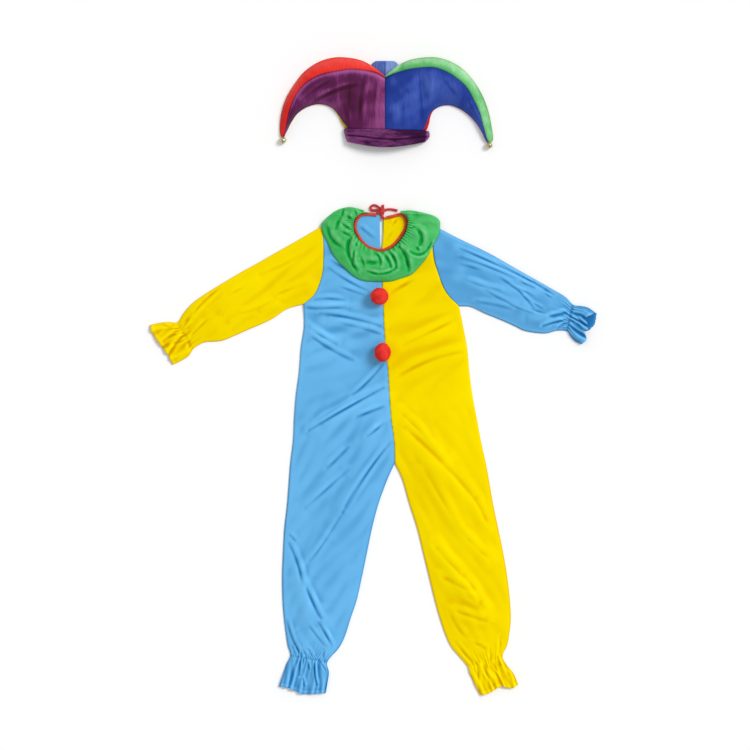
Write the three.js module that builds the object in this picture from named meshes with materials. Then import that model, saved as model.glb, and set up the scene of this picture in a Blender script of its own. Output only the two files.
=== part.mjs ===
// Jester costume laid out flat: a two-colour jumpsuit with a ruff and pompoms, and a three-point hat with bells.
// Millimetres, +Z up, +Y from the hem to the hat. The surface that everything lies on is z = 0.
// Left and right are those of a viewer who looks down on the costume.
import * as THREE from "three";

// Walls and gaps
const CLOTH = 1.2; // wall of the knit cloth
const DOUBLED = 2; // wall of the ruff, which is cloth folded double
const HAT_CLOTH = 1.5; // wall of the hat's panels, cloth on a soft backing
const GAP = 0.3; // between sewn edges, and between layers that lie on each other

// Suit
const LOFT = 3; // air under the middle of a front panel
const ROW_STEP = 32; // longest step between two rows of a front panel
const BODY_COLUMNS = 8; // faces across a front panel
const BACK_COLUMNS = 5; // faces across a back panel
const FRILL_COLUMNS = 20; // faces across a frill
const ANKLE_FLUTES = 5; // waves across the front of an ankle frill
const CUFF_FLUTES = 4; // waves across the top of a cuff frill
const SLEEVE_EDGE = 3.4; // height of a sleeve along its folded edges
const FRILL_LOFT = 0.3; // loft left in a cuff's frill, as a share of the sleeve's
const ARMHOLE_ROWS = 3; // rows over which the armhole's curve fades along the sleeve
const CROTCH_OPEN = 0.35; // how far the cloth stands open at the crotch

// Neck
const BINDING = { wide: 7, high: 4.4, segments: 46, sides: 8 };
const HIDDEN_RUFF = 2.6; // the back of the ruff, folded under the back panels
const NECK_CENTRE_X = 14;
const NECK_RAISE = { x: 15, y: 322, wide: 66, long: 46, fade: 1.6 }; // where the back panels lie on it
const SHOULDER = { inX: 62, outX: 82, lowY: 338, highY: 356 }; // where the ruff leaves the shoulders
const RUFF = {
  gathers: 26, // small gathers at the neckline
  folds: 12, // large folds
  gather: 2.2,
  fold: 9,
  puff: 5,
  sway: { size: 1.3, turns: 9 }, // uneven spacing of the large folds
  fullDepth: 50, // depth from neckline to rim at which the folds have their whole height
  foldStart: 0.1, // phase of the large folds' arch at the neckline, of half a turn
  foldSpan: 0.72, // and how much of it follows up to the rim
  steps: 104,
  rows: 4,
};

// Ties
const TIE_DIAMETER = 4.4;
const TIE_SIDES = 8;
const KNOT = { x: 17, y: 364.5, wide: 10, long: 9, high: 8 };

// Pompoms
const POMPOMS = [
  { name: "pompom_upper", x: 12, y: 177, wide: 41, long: 39, high: 36 },
  { name: "pompom_lower", x: 19, y: 54, wide: 37, long: 43, high: 36 },
];
const POMPOM_SEAT = 0.42; // radius of the flat seat over the radius of the ball
const POMPOM_SIDES = 18;

// Hat
const BAND = {
  left: -66,
  right: 120,
  top: 546, // height of its upper edge up the page, at the left
  slant: -5, // and how much lower that edge lies at the right
  foot: 516,
  dip: 12, // how much lower the front's foot lies in the middle
  taper: 8, // how far each side comes in at the foot
  bulge: 4, // how far the right side swells between
  edge: 8, // height at both sides
  rise: 18, // and how much higher the middle stands
  wall: 2.4,
};
const BAND_SIDES = 14; // faces across each wall of the band
const BAND_LEVELS = 3; // faces from its upper edge to its foot
const HAT_COLUMNS = 4; // faces from a horn's lower edge to its upper seam
const HORN_EDGE = 2.4; // height of the front's lower edge along a horn
const HORN_BULGE = 5; // how far a horn's front and gusset swell between their seams
const CROWN_BULGE = 4; // the same at the centre seam, one less for each row away from it
const BELL = { radius: 7.2, sides: 14 };
const BELLS = [
  { name: "bell_left", x: -200, y: 520 },
  { name: "bell_right", x: 253.4, y: 509 },
  { name: "bell_back", x: 24, y: 573.5 },
];
const THIRD_POINT_CLEAR = { flat: 26, fade: 44, lowY: 548, highY: 590 }; // where the hat's back lies on it
const BELL_CLEAR = { over: 2, long: 3, fade: 4, lowY: 545, highY: 556 }; // and over its bell, in radii

const COLOURS = {
  skyBlue: 0x66b0e4,
  yellow: 0xf6da05,
  green: 0x4fb862,
  red: 0xd8362c,
  pompomRed: 0xee3a32,
  purple: 0x6b2a68,
  deepBlue: 0x2f4a9e,
  hatRed: 0xeb382f,
  hatGreen: 0x55ba5c,
  hatYellow: 0xf8d860,
  midBlue: 0x4a66b4,
  brass: 0xc8c09a,
};

// Turns rows of numbers into records, one key for each named column.
function table(columns, rows) {
  const keys = columns.split(" ");
  return rows.map((row) => Object.fromEntries(keys.map((key, k) => [key, row[k]])));
}

// Torso, from the crotch up to the foot of the neck. Each row runs from the left side over the centre seam
// to the right side; loft says how far the sides stand open, 0 at a side seam and 1 at an armhole.
const TORSO = table("leftX leftY seamX seamY rightX rightY loft", [
  [-184, -189, 46, -189, 246, -189, 0],
  [-178, -139, 44, -139, 235, -139, 0],
  [-176, -95, 38, -95, 227, -95, 0],
  [-172, -42, 34, -42, 217, -42, 0],
  [-165, 11, 31, 11, 210, 11, 0],
  [-161, 64, 25, 64, 205, 64, 0],
  [-154, 112, 22, 115, 196, 112, 0],
  [-155, 160, 20, 160, 187, 156, 0.3],
  [-132, 180, 19, 188, 165, 178, 0.8],
  [-120, 205, 18, 214, 152, 200, 1],
  [-113, 231, 17, 243, 140, 231, 1],
  [-111, 262, 15, 273.5, 132, 263, 1],
]);
const ARMPIT_ROW = 7;

// Legs, from the hem up to just under the crotch, from the outer side to the inseam; flute is the height of
// the frill's waves.
const LEFT_LEG = table("outX outY inX inY flute", [
  [-209, -680, -106, -695, 9],
  [-201, -656, -102, -673, 7],
  [-193, -632, -99, -650, 4],
  [-184, -612, -102, -626, 1.6],
  [-190, -590, -77, -596, 0],
  [-194, -563, -63, -568, 0],
  [-198, -530, -51, -530, 0],
  [-201, -491, -38, -491, 0],
  [-202, -438, -26, -438, 0],
  [-200, -385, -15, -385, 0],
  [-197, -332, -4, -332, 0],
  [-191, -279, 10, -279, 0],
  [-187, -227, 29, -227, 0],
]);
const RIGHT_LEG = table("outX outY inX inY flute", [
  [317, -676, 233, -699, 9],
  [307, -652, 223, -678, 7],
  [291, -632, 212, -656, 4],
  [283, -613, 205, -635, 1.6],
  [293, -590, 172, -596, 0],
  [298, -563, 158, -568, 0],
  [301, -530, 145, -530, 0],
  [299, -491, 134, -491, 0],
  [293, -438, 121, -438, 0],
  [284, -385, 108, -385, 0],
  [273, -332, 95, -332, 0],
  [262, -279, 78, -279, 0],
  [253, -227, 63, -227, 0],
]);

// Hems of the frills, from one side to the other: how far each reaches past a straight line between its corners.
// A leg's runs from the outer side to the inseam, a sleeve's from the lower to the upper folded edge.
const HEMS = {
  leftLeg: table("across past", [
    [0, 0],
    [0.18, 0.5],
    [0.36, 5],
    [0.5, 9],
    [0.64, 7.5],
    [0.84, 3],
    [1, 0],
  ]),
  rightLeg: table("across past", [
    [0, 0],
    [0.14, 4.5],
    [0.28, 1],
    [0.4, -5],
    [0.5, -6],
    [0.6, -2.5],
    [0.8, 2],
    [1, 0],
  ]),
  leftSleeve: table("across past", [
    [0, 0],
    [0.22, -1],
    [0.44, 0.5],
    [0.66, 3],
    [0.86, 4],
    [1, 0],
  ]),
  rightSleeve: table("across past", [
    [0, 0],
    [0.12, 4],
    [0.22, 4.5],
    [0.36, -6],
    [0.5, 2],
    [0.7, 6],
    [0.86, 3],
    [1, 0],
  ]),
};

// Above the foot of the neck: the front panels run along the neckline, the back panels along the slit.
const YOKES = {
  leftFront: table("outX outY inX inY loft", [
    [-111, 288, -20, 281, 1],
    [-112, 310, -39.5, 302, 1],
    [-114, 332, -47, 325, 1],
    [-64, 342, -47, 345, 0.4],
  ]),
  rightFront: table("outX outY inX inY loft", [
    [129, 290, 43, 282, 1],
    [134, 310, 67, 308, 1],
    [145, 326, 75.5, 332, 1],
    [94, 340, 76, 345, 0.4],
  ]),
  leftBack: table("outX outY inX inY loft", [
    [-111, 288, 14, 290, 1],
    [-112, 310, 13.4, 312, 1],
    [-114, 332, 13, 334, 1],
    [-47, 347, 13, 347, 1],
    [-34, 356, 13, 354, 1],
  ]),
  rightBack: table("outX outY inX inY loft", [
    [129, 290, 18.5, 290, 1],
    [134, 310, 20, 312, 1],
    [145, 326, 20.5, 330, 1],
    [77, 346, 21, 339, 1],
    [64, 356, 22, 346, 1],
  ]),
};

// Sleeves, from the armhole to the frill's hem: the upper and the lower folded edge.
const LEFT_SLEEVE = table("topX topY lowX lowY loft flute", [
  [-114, 332, -155, 160, 3, 0],
  [-169, 300, -190, 150, 4, 0],
  [-222, 270, -222, 129, 5, 0],
  [-255, 251, -249, 116, 5, 0],
  [-288, 233, -275, 105, 5, 0],
  [-322, 213, -304, 92, 5, 0],
  [-355, 193, -335, 80, 5, 0],
  [-395, 166, -370, 77, 5, 0],
  [-418, 142, -386, 70, 4, 1],
  [-432, 121, -398, 61, 3, 2.2],
  [-452, 121, -408, 46, 5, 5],
  [-472, 119, -424, 36, 6, 7],
  [-493, 114, -442, 27, 6, 9],
]);
const RIGHT_SLEEVE = table("topX topY lowX lowY loft flute", [
  [145, 326, 187, 156, 3, 0],
  [181, 307, 214, 154, 4, 0],
  [235, 281, 244, 140, 5, 0],
  [262, 267, 266, 131, 5, 0],
  [290, 251, 290, 121, 5, 0],
  [316, 236, 312, 111, 5, 0],
  [343, 221, 334, 101, 5, 0],
  [394, 192, 375, 96, 5, 0],
  [421, 176, 402, 102, 4, 1],
  [438, 159, 424, 101, 3, 2.2],
  [455, 156, 432, 90, 5, 6],
  [472, 152, 442, 79, 7, 9],
  [490, 139, 456, 72, 8, 12],
]);

// Largest folds of the fronts and sleeves: the ends and the middle of each soft ridge, its height and half width.
const FOLDS = table("x0 y0 xm ym x1 y1 height half", [
  [-152, 158, -100, 160, -45, 155, 4, 16],
  [-110, 128, -60, 124, -5, 112, 3, 16],
  [-150, 110, -110, 84, -60, 78, 3.5, 17],
  [-125, -108, -70, -78, 15, -40, 5, 20],
  [-150, -115, -100, -80, -40, -50, -2, 16],
  [5, -110, -30, -210, -85, -310, 4, 20],
  [-60, -205, -110, -240, -160, -295, 3.5, 18],
  [-100, -350, -130, -400, -150, -440, 3, 18],
  [-168, -420, -150, -500, -135, -560, 4, 18],
  [-175, -560, -150, -590, -140, -620, 3, 14],
  [-115, -510, -100, -560, -100, -600, 3, 16],
  [195, 124, 120, 95, 60, 70, 4, 18],
  [205, 56, 130, 40, 50, 0, 4, 18],
  [55, -80, 110, -130, 160, -180, 4, 18],
  [70, -130, 170, -230, 255, -330, 5, 20],
  [110, -200, 170, -320, 250, -400, 3.5, 18],
  [130, -370, 180, -430, 240, -510, 4, 18],
  [150, -440, 200, -480, 240, -500, 3, 18],
  [180, -515, 215, -530, 250, -535, 3, 16],
  [-370, 172, -400, 145, -415, 125, 3, 14],
  [-140, 200, -230, 165, -330, 120, 2.5, 20],
  [-240, 230, -300, 190, -360, 150, 2.5, 20],
  [188, 285, 260, 250, 360, 200, 4, 18],
  [190, 225, 270, 190, 330, 150, 3, 20],
  [330, 130, 370, 130, 400, 125, 3, 14],
]);
const FOLD_PARTS = 6; // straight parts that a fold's curve is measured along

// Ruff, from its left end at the back of the neck round the front to its right end: the neckline and the rim.
const RUFF_SECTIONS = table("neckX neckY rimX rimY", [
  [-12, 361, -20, 366],
  [-28, 359, -55, 374],
  [-38, 352, -86, 364],
  [-43, 345, -112, 342],
  [-45, 336, -114, 322],
  [-45, 326, -104, 296],
  [-42, 315, -88, 266],
  [-35, 304, -68, 242],
  [-25, 293, -46, 222],
  [-12, 283, -18, 211],
  [15, 275, 18, 209],
  [36, 281, 53, 214],
  [50, 291, 84, 227],
  [59, 302, 107, 250],
  [67, 313, 126, 281],
  [72, 325, 139, 305],
  [74, 336, 145, 323],
  [75, 345, 145, 340],
  [72, 352, 136, 352],
  [68, 357, 119, 359],
  [62, 360, 84, 366],
  [54, 359, 59, 365],
]);

// Neck binding along the whole neckline, from the left edge of the slit round the front to its right edge.
const BINDING_PATH = table("x y", [
  [8, 354],
  [-10, 356],
  [-27, 355],
  [-37, 346],
  [-41.5, 335],
  [-41, 325],
  [-32, 306],
  [-13, 286],
  [15, 278.5],
  [33, 284],
  [47, 294],
  [61, 312],
  [69, 327],
  [70.5, 340],
  [66, 352],
  [57, 355],
  [40, 349],
  [27, 344],
]);

// Back of the ruff under the back panels: the two ends of each row, left of the slit and right of it.
const HIDDEN_RUFFS = {
  ruff_back_left: table("outX outY inX inY", [
    [-22, 357, 9, 357],
    [-34, 340, 10, 340],
    [-32, 318, 10, 318],
    [-18, 298, 10, 300],
  ]),
  ruff_back_right: table("outX outY inX inY", [
    [54, 354, 21, 350],
    [63, 338, 19, 336],
    [60, 316, 19.5, 316],
    [45, 298, 21, 300],
  ]),
};

// Ties: the middle of each cord, stretch by stretch, from the binding or the knot to its end.
const TIES = {
  tie_lead_left: table("x y z", [
    [7, 359, 5.6],
    [9, 361, 4.6],
    [11, 362.6, 4],
  ]),
  tie_loop: table("x y z", [
    [13.5, 369.8, 3.2],
    [9, 375, 2.4],
    [2, 378.6, 2.3],
    [-5, 377, 2.3],
    [-8.5, 371.5, 2.3],
    [-5.5, 366.6, 2.6],
    [1, 366.8, 3.2],
    [11.2, 366.6, 4],
  ]),
  tie_end: table("x y z", [
    [19, 369, 3.6],
    [20.4, 374, 2.5],
    [19.6, 379, 2.3],
  ]),
  tie_lead_right: table("x y z", [
    [23.4, 346.8, 7],
    [19.8, 350.5, 6.6],
    [18.4, 355, 5.8],
    [17.8, 359.4, 5],
  ]),
  tie_tail: table("x y z", [
    [22.8, 366, 4],
    [29, 368.6, 2.6],
    [38, 368.6, 2.3],
    [46, 367.6, 2.3],
    [51.6, 366, 2.3],
  ]),
};

// Horns, from the hat's centre seam out to the tip: the lower edge, the upper front seam and the outer edge of
// the gusset. band is 1 where the lower edge is sewn to the band; high is the height of the upper seam.
const LEFT_HORN = table("lowX lowY seamX seamY outX outY band high", [
  [24, 544, 24, 657, 24, 661, 1, 18],
  [-4, 544, 4, 667, 1, 680, 1, 22],
  [-35, 546, -22, 673, -24, 695, 1, 25],
  [-61, 546, -53, 675, -53, 702, 1, 26],
  [-76, 573, -82, 671, -87, 703, 0, 26],
  [-95, 593, -114, 664, -122, 693, 0, 25],
  [-121, 600, -142, 651, -154, 671, 0, 24],
  [-146, 594, -164, 631, -178, 640, 0, 22],
  [-167, 580, -178, 607, -194, 612, 0, 19],
  [-181, 561, -187, 582, -203, 584, 0, 16],
  [-189, 545, -192, 558, -207, 557, 0, 13],
  [-194.5, 534, -196.5, 537, -207, 537, 0, 10],
  [-197, 528, -199.5, 528, -204.5, 528, 0, 8],
]);
const RIGHT_HORN = table("lowX lowY seamX seamY outX outY band high", [
  [24, 544, 24, 657, 24, 661, 1, 18],
  [53, 543, 43, 665, 46, 680, 1, 22],
  [83, 543, 68, 673, 72, 695, 1, 25],
  [113, 542, 98, 678, 102, 702, 1, 26],
  [122, 575, 130, 679, 136, 703, 0, 26],
  [139, 592, 158, 670, 168, 694, 0, 25],
  [163, 598, 183, 654, 198, 675, 0, 24],
  [188, 590, 204, 634, 222, 647, 0, 22],
  [209, 575, 219, 608, 240, 616, 0, 19],
  [226, 556, 231, 583, 252, 583, 0, 16],
  [237, 538, 239, 554, 259, 549, 0, 13],
  [243.5, 524, 246, 529, 262, 524, 0, 10],
  [248, 517, 251, 516.6, 258, 516.4, 0, 8],
]);
const BACK_SHOW = 5; // how far the back of a horn shows past its front beside the band

// Third point: a horn folded over backwards, which lies under the hat and shows only its fold at the top.
const THIRD_POINT = table("y half high", [
  [695, 20, 3.4],
  [690, 27, 8],
  [680, 31, 10],
  [668, 30, 10],
  [656, 27, 8.5],
  [640, 24, 6],
  [620, 19, 4],
  [600, 13, 4],
  [581, 5, 5],
]);
const THIRD_COLUMNS = 8;
const THIRD_POINT_EDGE = 0.35; // height of its sides over the height of its middle

const clamp = THREE.MathUtils.clamp;
const mix = THREE.MathUtils.lerp;
const smoothstep = THREE.MathUtils.smoothstep;
const costume = new THREE.Group();

// Adds a closed body from points and triangles, with its faces turned outwards.
function addSolid(name, points, faces, colour, roughness = 0.6, metalness = 0) {
  let volume = 0;
  for (const [a, b, c] of faces) {
    volume += points[a].dot(points[b].clone().cross(points[c]));
  }
  const index = faces.flatMap(([a, b, c]) => (volume < 0 ? [a, c, b] : [a, b, c]));
  const geometry = new THREE.BufferGeometry();
  geometry.setAttribute("position", new THREE.Float32BufferAttribute(points.flatMap((p) => p.toArray()), 3));
  geometry.setIndex(index);
  geometry.computeVertexNormals();
  addMesh(name, geometry, colour, roughness, metalness);
}

function addMesh(name, geometry, colour, roughness = 0.6, metalness = 0) {
  const mesh = new THREE.Mesh(geometry, new THREE.MeshStandardMaterial({ color: colour, roughness, metalness }));
  mesh.name = name;
  costume.add(mesh);
}

// Fills the space between two rows of point numbers with triangles; the rows may differ in length.
function zip(faces, first, second, turned) {
  let i = 0;
  let j = 0;
  while (i < first.length - 1 || j < second.length - 1) {
    const nextFirst = (i + 1) / (first.length - 1);
    const nextSecond = (j + 1) / (second.length - 1);
    const stepFirst = j === second.length - 1 || (i < first.length - 1 && nextFirst <= nextSecond);
    const face = stepFirst ? [first[i], first[i + 1], second[j]] : [first[i], second[j + 1], second[j]];
    faces.push(turned ? [face[0], face[2], face[1]] : face);
    if (stepFirst) i += 1;
    else j += 1;
  }
}

// Numbers the points of some rows and adds them to the list.
function numbered(points, rows) {
  return rows.map((row) =>
    row.map((point) => {
      points.push(point);
      return points.length - 1;
    }),
  );
}

// A wall of cloth between the rows of its underside and the same rows lifted by its thickness.
function addSheet(name, rows, wall, colour) {
  const points = [];
  const faces = [];
  const under = numbered(points, rows);
  const over = numbered(
    points,
    rows.map((row) => row.map((p) => new THREE.Vector3(p.x, p.y, p.z + wall))),
  );
  for (let r = 0; r + 1 < rows.length; r += 1) {
    zip(faces, over[r], over[r + 1], false);
    zip(faces, under[r], under[r + 1], true);
  }
  const last = rows.length - 1;
  zip(faces, under[0], over[0], false);
  zip(faces, under[last], over[last], true);
  zip(faces, under.map((row) => row[0]), over.map((row) => row[0]), true);
  zip(faces, under.map((row) => row.at(-1)), over.map((row) => row.at(-1)), false);
  addSolid(name, points, faces, colour);
}

// A tube of cloth, open at both ends, between rings of outer points and rings of inner points.
function addTube(name, outerRings, innerRings, colour) {
  const points = [];
  const faces = [];
  const closed = (rings) => numbered(points, rings).map((ring) => [...ring, ring[0]]);
  const outer = closed(outerRings);
  const inner = closed(innerRings);
  for (let r = 0; r + 1 < outer.length; r += 1) {
    zip(faces, outer[r], outer[r + 1], false);
    zip(faces, inner[r], inner[r + 1], true);
  }
  zip(faces, inner[0], outer[0], false);
  zip(faces, inner.at(-1), outer.at(-1), true);
  addSolid(name, points, faces, colour);
}

// Splits the steps of a table that are longer than the given step, in straight lines.
function refined(sections, step, xKey, yKey) {
  const result = [sections[0]];
  for (let s = 1; s < sections.length; s += 1) {
    const [before, after] = [sections[s - 1], sections[s]];
    const length = Math.hypot(after[xKey] - before[xKey], after[yKey] - before[yKey]);
    const parts = Math.max(1, Math.ceil(length / step));
    for (let part = 1; part <= parts; part += 1) {
      const share = part / parts;
      result.push(Object.fromEntries(Object.keys(after).map((key) => [key, mix(before[key], after[key], share)])));
    }
  }
  return result;
}

// Places on a closed or open curve through the rows of a table, as many as steps + 1.
function spaced(sections, steps) {
  const keys = Object.keys(sections[0]);
  const span = sections.length - 1;
  return Array.from({ length: steps + 1 }, (_, i) => {
    const at = (i / steps) * span;
    const k = Math.min(Math.floor(at), span - 1);
    const t = at - k;
    const near = [-1, 0, 1, 2].map((d) => sections[clamp(k + d, 0, span)]);
    const row = keys.map((key) => {
      const [a, b, c, d] = near.map((section) => section[key]);
      const cubic = -a + 3 * b - 3 * c + d;
      const square = 2 * a - 5 * b + 4 * c - d;
      return [key, 0.5 * (2 * b + (c - a) * t + square * t * t + cubic * t * t * t)];
    });
    return Object.fromEntries(row);
  });
}

// Height that the fold table adds at a place of the cloth.
function foldHeight(x, y) {
  let height = 0;
  for (const fold of FOLDS) {
    let nearest = Infinity;
    let along = 0;
    for (let part = 0; part <= FOLD_PARTS; part += 1) {
      const t = part / FOLD_PARTS;
      const curve = (from, middle, to) => (1 - t) * (1 - t) * from + 2 * t * (1 - t) * middle + t * t * to;
      const distance = Math.hypot(x - curve(fold.x0, fold.xm, fold.x1), y - curve(fold.y0, fold.ym, fold.y1));
      if (distance < nearest) {
        nearest = distance;
        along = t;
      }
    }
    const taper = Math.sqrt(Math.max(0, Math.sin(Math.PI * clamp(along, 0.08, 0.92))));
    height += fold.height * taper * Math.exp(-((nearest / fold.half) ** 2));
  }
  return height;
}

// Underside of the back panels: on the surface, but raised where the back of the ruff lies under them.
function backUnder(x, y) {
  const far = Math.hypot((x - NECK_RAISE.x) / NECK_RAISE.wide, (y - NECK_RAISE.y) / NECK_RAISE.long);
  return (HIDDEN_RUFF + GAP) * (1 - smoothstep(far, 1, NECK_RAISE.fade));
}

// Underside of the front panels, where open is 0 at a closed seam and 1 where the cloth stands up most.
function frontUnder(x, y, open) {
  return backUnder(x, y) + CLOTH + GAP + Math.max(0, LOFT * open + foldHeight(x, y) * Math.min(1, 2 * open));
}

// How far the cloth stands open across a panel whose two edges are open by the given amounts.
function openAcross(outOpen, inOpen, across) {
  const edges = mix(outOpen, inOpen, across);
  return edges + (1 - edges) * Math.sin(Math.PI * across) ** 0.7;
}

// Rows of one half of the suit, from hem to shoulder, with both edges set in by half a seam gap.
function halfSections(side, leg, yoke) {
  const torso = TORSO.map((row) => ({
    outX: row[side + "X"],
    outY: row[side + "Y"],
    inX: row.seamX,
    inY: row.seamY,
    flute: 0,
    outOpen: row.loft,
    inOpen: 1,
  }));
  torso[0].inOpen = CROTCH_OPEN;
  const legs = leg.map((row) => ({ ...row, outOpen: 0, inOpen: 0 }));
  const yokes = yoke.map(({ loft, ...row }) => ({ ...row, flute: 0, outOpen: loft, inOpen: loft }));
  return [...legs, ...torso, ...yokes];
}

function halfRow(section, columns, height) {
  const out = new THREE.Vector2(section.outX, section.outY);
  const inner = new THREE.Vector2(section.inX, section.inY);
  const inset = GAP / 2 / out.distanceTo(inner);
  return Array.from({ length: columns + 1 }, (_, k) => {
    const across = mix(inset, 1 - inset, k / columns);
    const place = out.clone().lerp(inner, across);
    return height(place.x, place.y, across);
  });
}

// How far a frill's hem reaches past the line between its corners, at a place between them.
function hemPast(hem, across) {
  const k = clamp(hem.findIndex((row) => row.across >= across), 1, hem.length - 1);
  const [before, after] = [hem[k - 1], hem[k]];
  return mix(before.past, after.past, (across - before.across) / (after.across - before.across));
}

function addFront(name, sections, hem, colour) {
  const rows = refined(sections, ROW_STEP, "inX", "inY").map((section) => {
    const columns = section.flute > 0 ? FRILL_COLUMNS : BODY_COLUMNS;
    return halfRow(section, columns, (x, y, across) => {
      const open = openAcross(section.outOpen, section.inOpen, across);
      const past = hemPast(hem, across) * (section.flute / sections[0].flute) ** 2;
      const frilled = CLOTH + GAP + section.flute * Math.sin(Math.PI * ANKLE_FLUTES * across) ** 2;
      return new THREE.Vector3(x, y - past, section.flute > 0 ? frilled : frontUnder(x, y, open));
    });
  });
  addSheet(name, rows, CLOTH, colour);
}

function addBack(name, sections, hem, colour) {
  const rows = sections.map((section, s) => {
    const columns = s === 0 ? FRILL_COLUMNS : BACK_COLUMNS;
    return halfRow(section, columns, (x, y, across) => {
      return new THREE.Vector3(x, s === 0 ? y - hemPast(hem, across) : y, backUnder(x, y));
    });
  });
  addSheet(name, rows, CLOTH, colour);
}

// A sleeve is a flattened tube: its lower wall lies on the surface and its upper wall on the lower one. Its
// first ring follows the armhole, so that it has the same corners as the panels' edge.
function addSleeve(name, sections, armhole, hem, colour) {
  const armpit = armhole[0];
  const shoulder = armhole.at(-1);
  const side = Math.sign(armpit.x);
  const outer = [];
  const inner = [];
  sections.forEach((section, s) => {
    const low = new THREE.Vector2(section.lowX, section.lowY);
    const top = new THREE.Vector2(section.topX, section.topY);
    const outward = new THREE.Vector2(top.y - low.y, low.x - top.x).normalize().multiplyScalar(side);
    const columns = section.flute > 0 ? FRILL_COLUMNS : armhole.length - 1;
    const curved = Math.max(0, 1 - s / ARMHOLE_ROWS);
    const place = (across) => {
      const straight = low.clone().lerp(top, across);
      const at = clamp(across, 0, 1) * (armhole.length - 1);
      const k = Math.min(Math.floor(at), armhole.length - 2);
      const bend = armhole[k].clone().lerp(armhole[k + 1], at - k);
      bend.sub(armpit.clone().lerp(shoulder, across));
      const past = hemPast(hem, across) * (section.flute / sections.at(-1).flute) ** 2;
      straight.addScaledVector(bend, curved).addScaledVector(outward, past);
      return s === 0 ? straight.add(new THREE.Vector2(side * GAP, 0)) : straight;
    };
    const height = (across, p) => {
      const frilled = section.flute > 0;
      const rise = section.loft * Math.sin(Math.PI * across) ** 0.6;
      const wave = section.flute * Math.sin(Math.PI * CUFF_FLUTES * across) ** 2;
      const folds = frilled ? 0 : foldHeight(p.x, p.y) * Math.sin(Math.PI * across);
      return SLEEVE_EDGE + Math.max(0, rise * (frilled ? FRILL_LOFT : 1) + folds) + wave;
    };
    const inset = CLOTH / low.distanceTo(top);
    const ring = (margin, lift) => {
      const steps = Array.from({ length: columns + 1 }, (_, k) => mix(margin, 1 - margin, k / columns));
      const floor = steps.map((across) => new THREE.Vector3(...place(across).toArray(), lift));
      const roof = steps.map((across) => {
        const p = place(across);
        return new THREE.Vector3(p.x, p.y, height(across, p) - lift);
      });
      return [...floor, ...roof.reverse()];
    };
    outer.push(ring(0, 0));
    inner.push(ring(inset, CLOTH));
  });
  addTube(name, outer, inner, colour);
}

function addSuit() {
  const left = halfSections("left", LEFT_LEG, YOKES.leftFront);
  const right = halfSections("right", RIGHT_LEG, YOKES.rightFront);
  const leftBack = halfSections("left", LEFT_LEG, YOKES.leftBack);
  const rightBack = halfSections("right", RIGHT_LEG, YOKES.rightBack);
  addFront("front_blue", left, HEMS.leftLeg, COLOURS.skyBlue);
  addFront("front_yellow", right, HEMS.rightLeg, COLOURS.yellow);
  addBack("back_blue", leftBack, HEMS.leftLeg, COLOURS.skyBlue);
  addBack("back_yellow", rightBack, HEMS.rightLeg, COLOURS.yellow);
  const first = LEFT_LEG.length + ARMPIT_ROW;
  const last = LEFT_LEG.length + TORSO.length + YOKES.leftFront.length - 1;
  const armhole = (sections) => sections.slice(first, last).map((row) => new THREE.Vector2(row.outX, row.outY));
  addSleeve("sleeve_yellow", LEFT_SLEEVE, armhole(left), HEMS.leftSleeve, COLOURS.yellow);
  addSleeve("sleeve_blue", RIGHT_SLEEVE, armhole(right), HEMS.rightSleeve, COLOURS.skyBlue);
}

// Height that the ruff lies on: the front panels, and past the shoulders the surface itself.
function ruffSeat(x, y) {
  const onFront = backUnder(x, y) + 2 * CLOTH + 2 * GAP + LOFT + Math.max(0, foldHeight(x, y));
  const aside = smoothstep(Math.abs(x - NECK_CENTRE_X), SHOULDER.inX, SHOULDER.outX);
  return mix(onFront, GAP, aside * smoothstep(y, SHOULDER.lowY, SHOULDER.highY));
}

function addRuff() {
  const rows = spaced(RUFF_SECTIONS, RUFF.steps).map((section, i) => {
    const neck = new THREE.Vector2(section.neckX, section.neckY);
    const rim = new THREE.Vector2(section.rimX, section.rimY);
    const round = i / RUFF.steps;
    const sway = RUFF.sway.size * Math.sin(RUFF.sway.turns * round);
    const gather = 0.5 + 0.5 * Math.cos(2 * Math.PI * RUFF.gathers * round);
    const fold = 0.5 + 0.5 * Math.sin(2 * Math.PI * RUFF.folds * round + sway);
    const full = Math.min(1, neck.distanceTo(rim) / RUFF.fullDepth);
    return Array.from({ length: RUFF.rows + 1 }, (_, k) => {
      const out = k / RUFF.rows;
      const place = neck.clone().lerp(rim, out);
      const arch = Math.sin(Math.PI * (RUFF.foldStart + RUFF.foldSpan * out));
      const puff = RUFF.puff * Math.sin(Math.PI * Math.min(out + RUFF.foldStart, 1)) ** 0.6;
      const waves = RUFF.gather * gather * (1 - out) + RUFF.fold * fold * arch;
      return new THREE.Vector3(place.x, place.y, ruffSeat(place.x, place.y) + full * (puff + waves));
    });
  });
  addSheet("ruff", rows, DOUBLED, COLOURS.green);
  for (const [name, sections] of Object.entries(HIDDEN_RUFFS)) {
    const hidden = sections.map((section) => halfRow(section, 3, (x, y) => new THREE.Vector3(x, y, 0)));
    addSheet(name, hidden, HIDDEN_RUFF, COLOURS.green);
  }
}

// An oval or round section drawn out along a curve.
function addCord(name, points, width, height, sides, steps, colour) {
  const shape = new THREE.Shape(
    Array.from({ length: sides }, (_, k) => {
      const turn = (2 * Math.PI * k) / sides;
      return new THREE.Vector2((height / 2) * Math.cos(turn), (width / 2) * Math.sin(turn));
    }),
  );
  const path = new THREE.CatmullRomCurve3(points, false, "centripetal");
  const geometry = new THREE.ExtrudeGeometry(shape, { steps, extrudePath: path });
  addMesh(name, geometry, colour);
}

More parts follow.
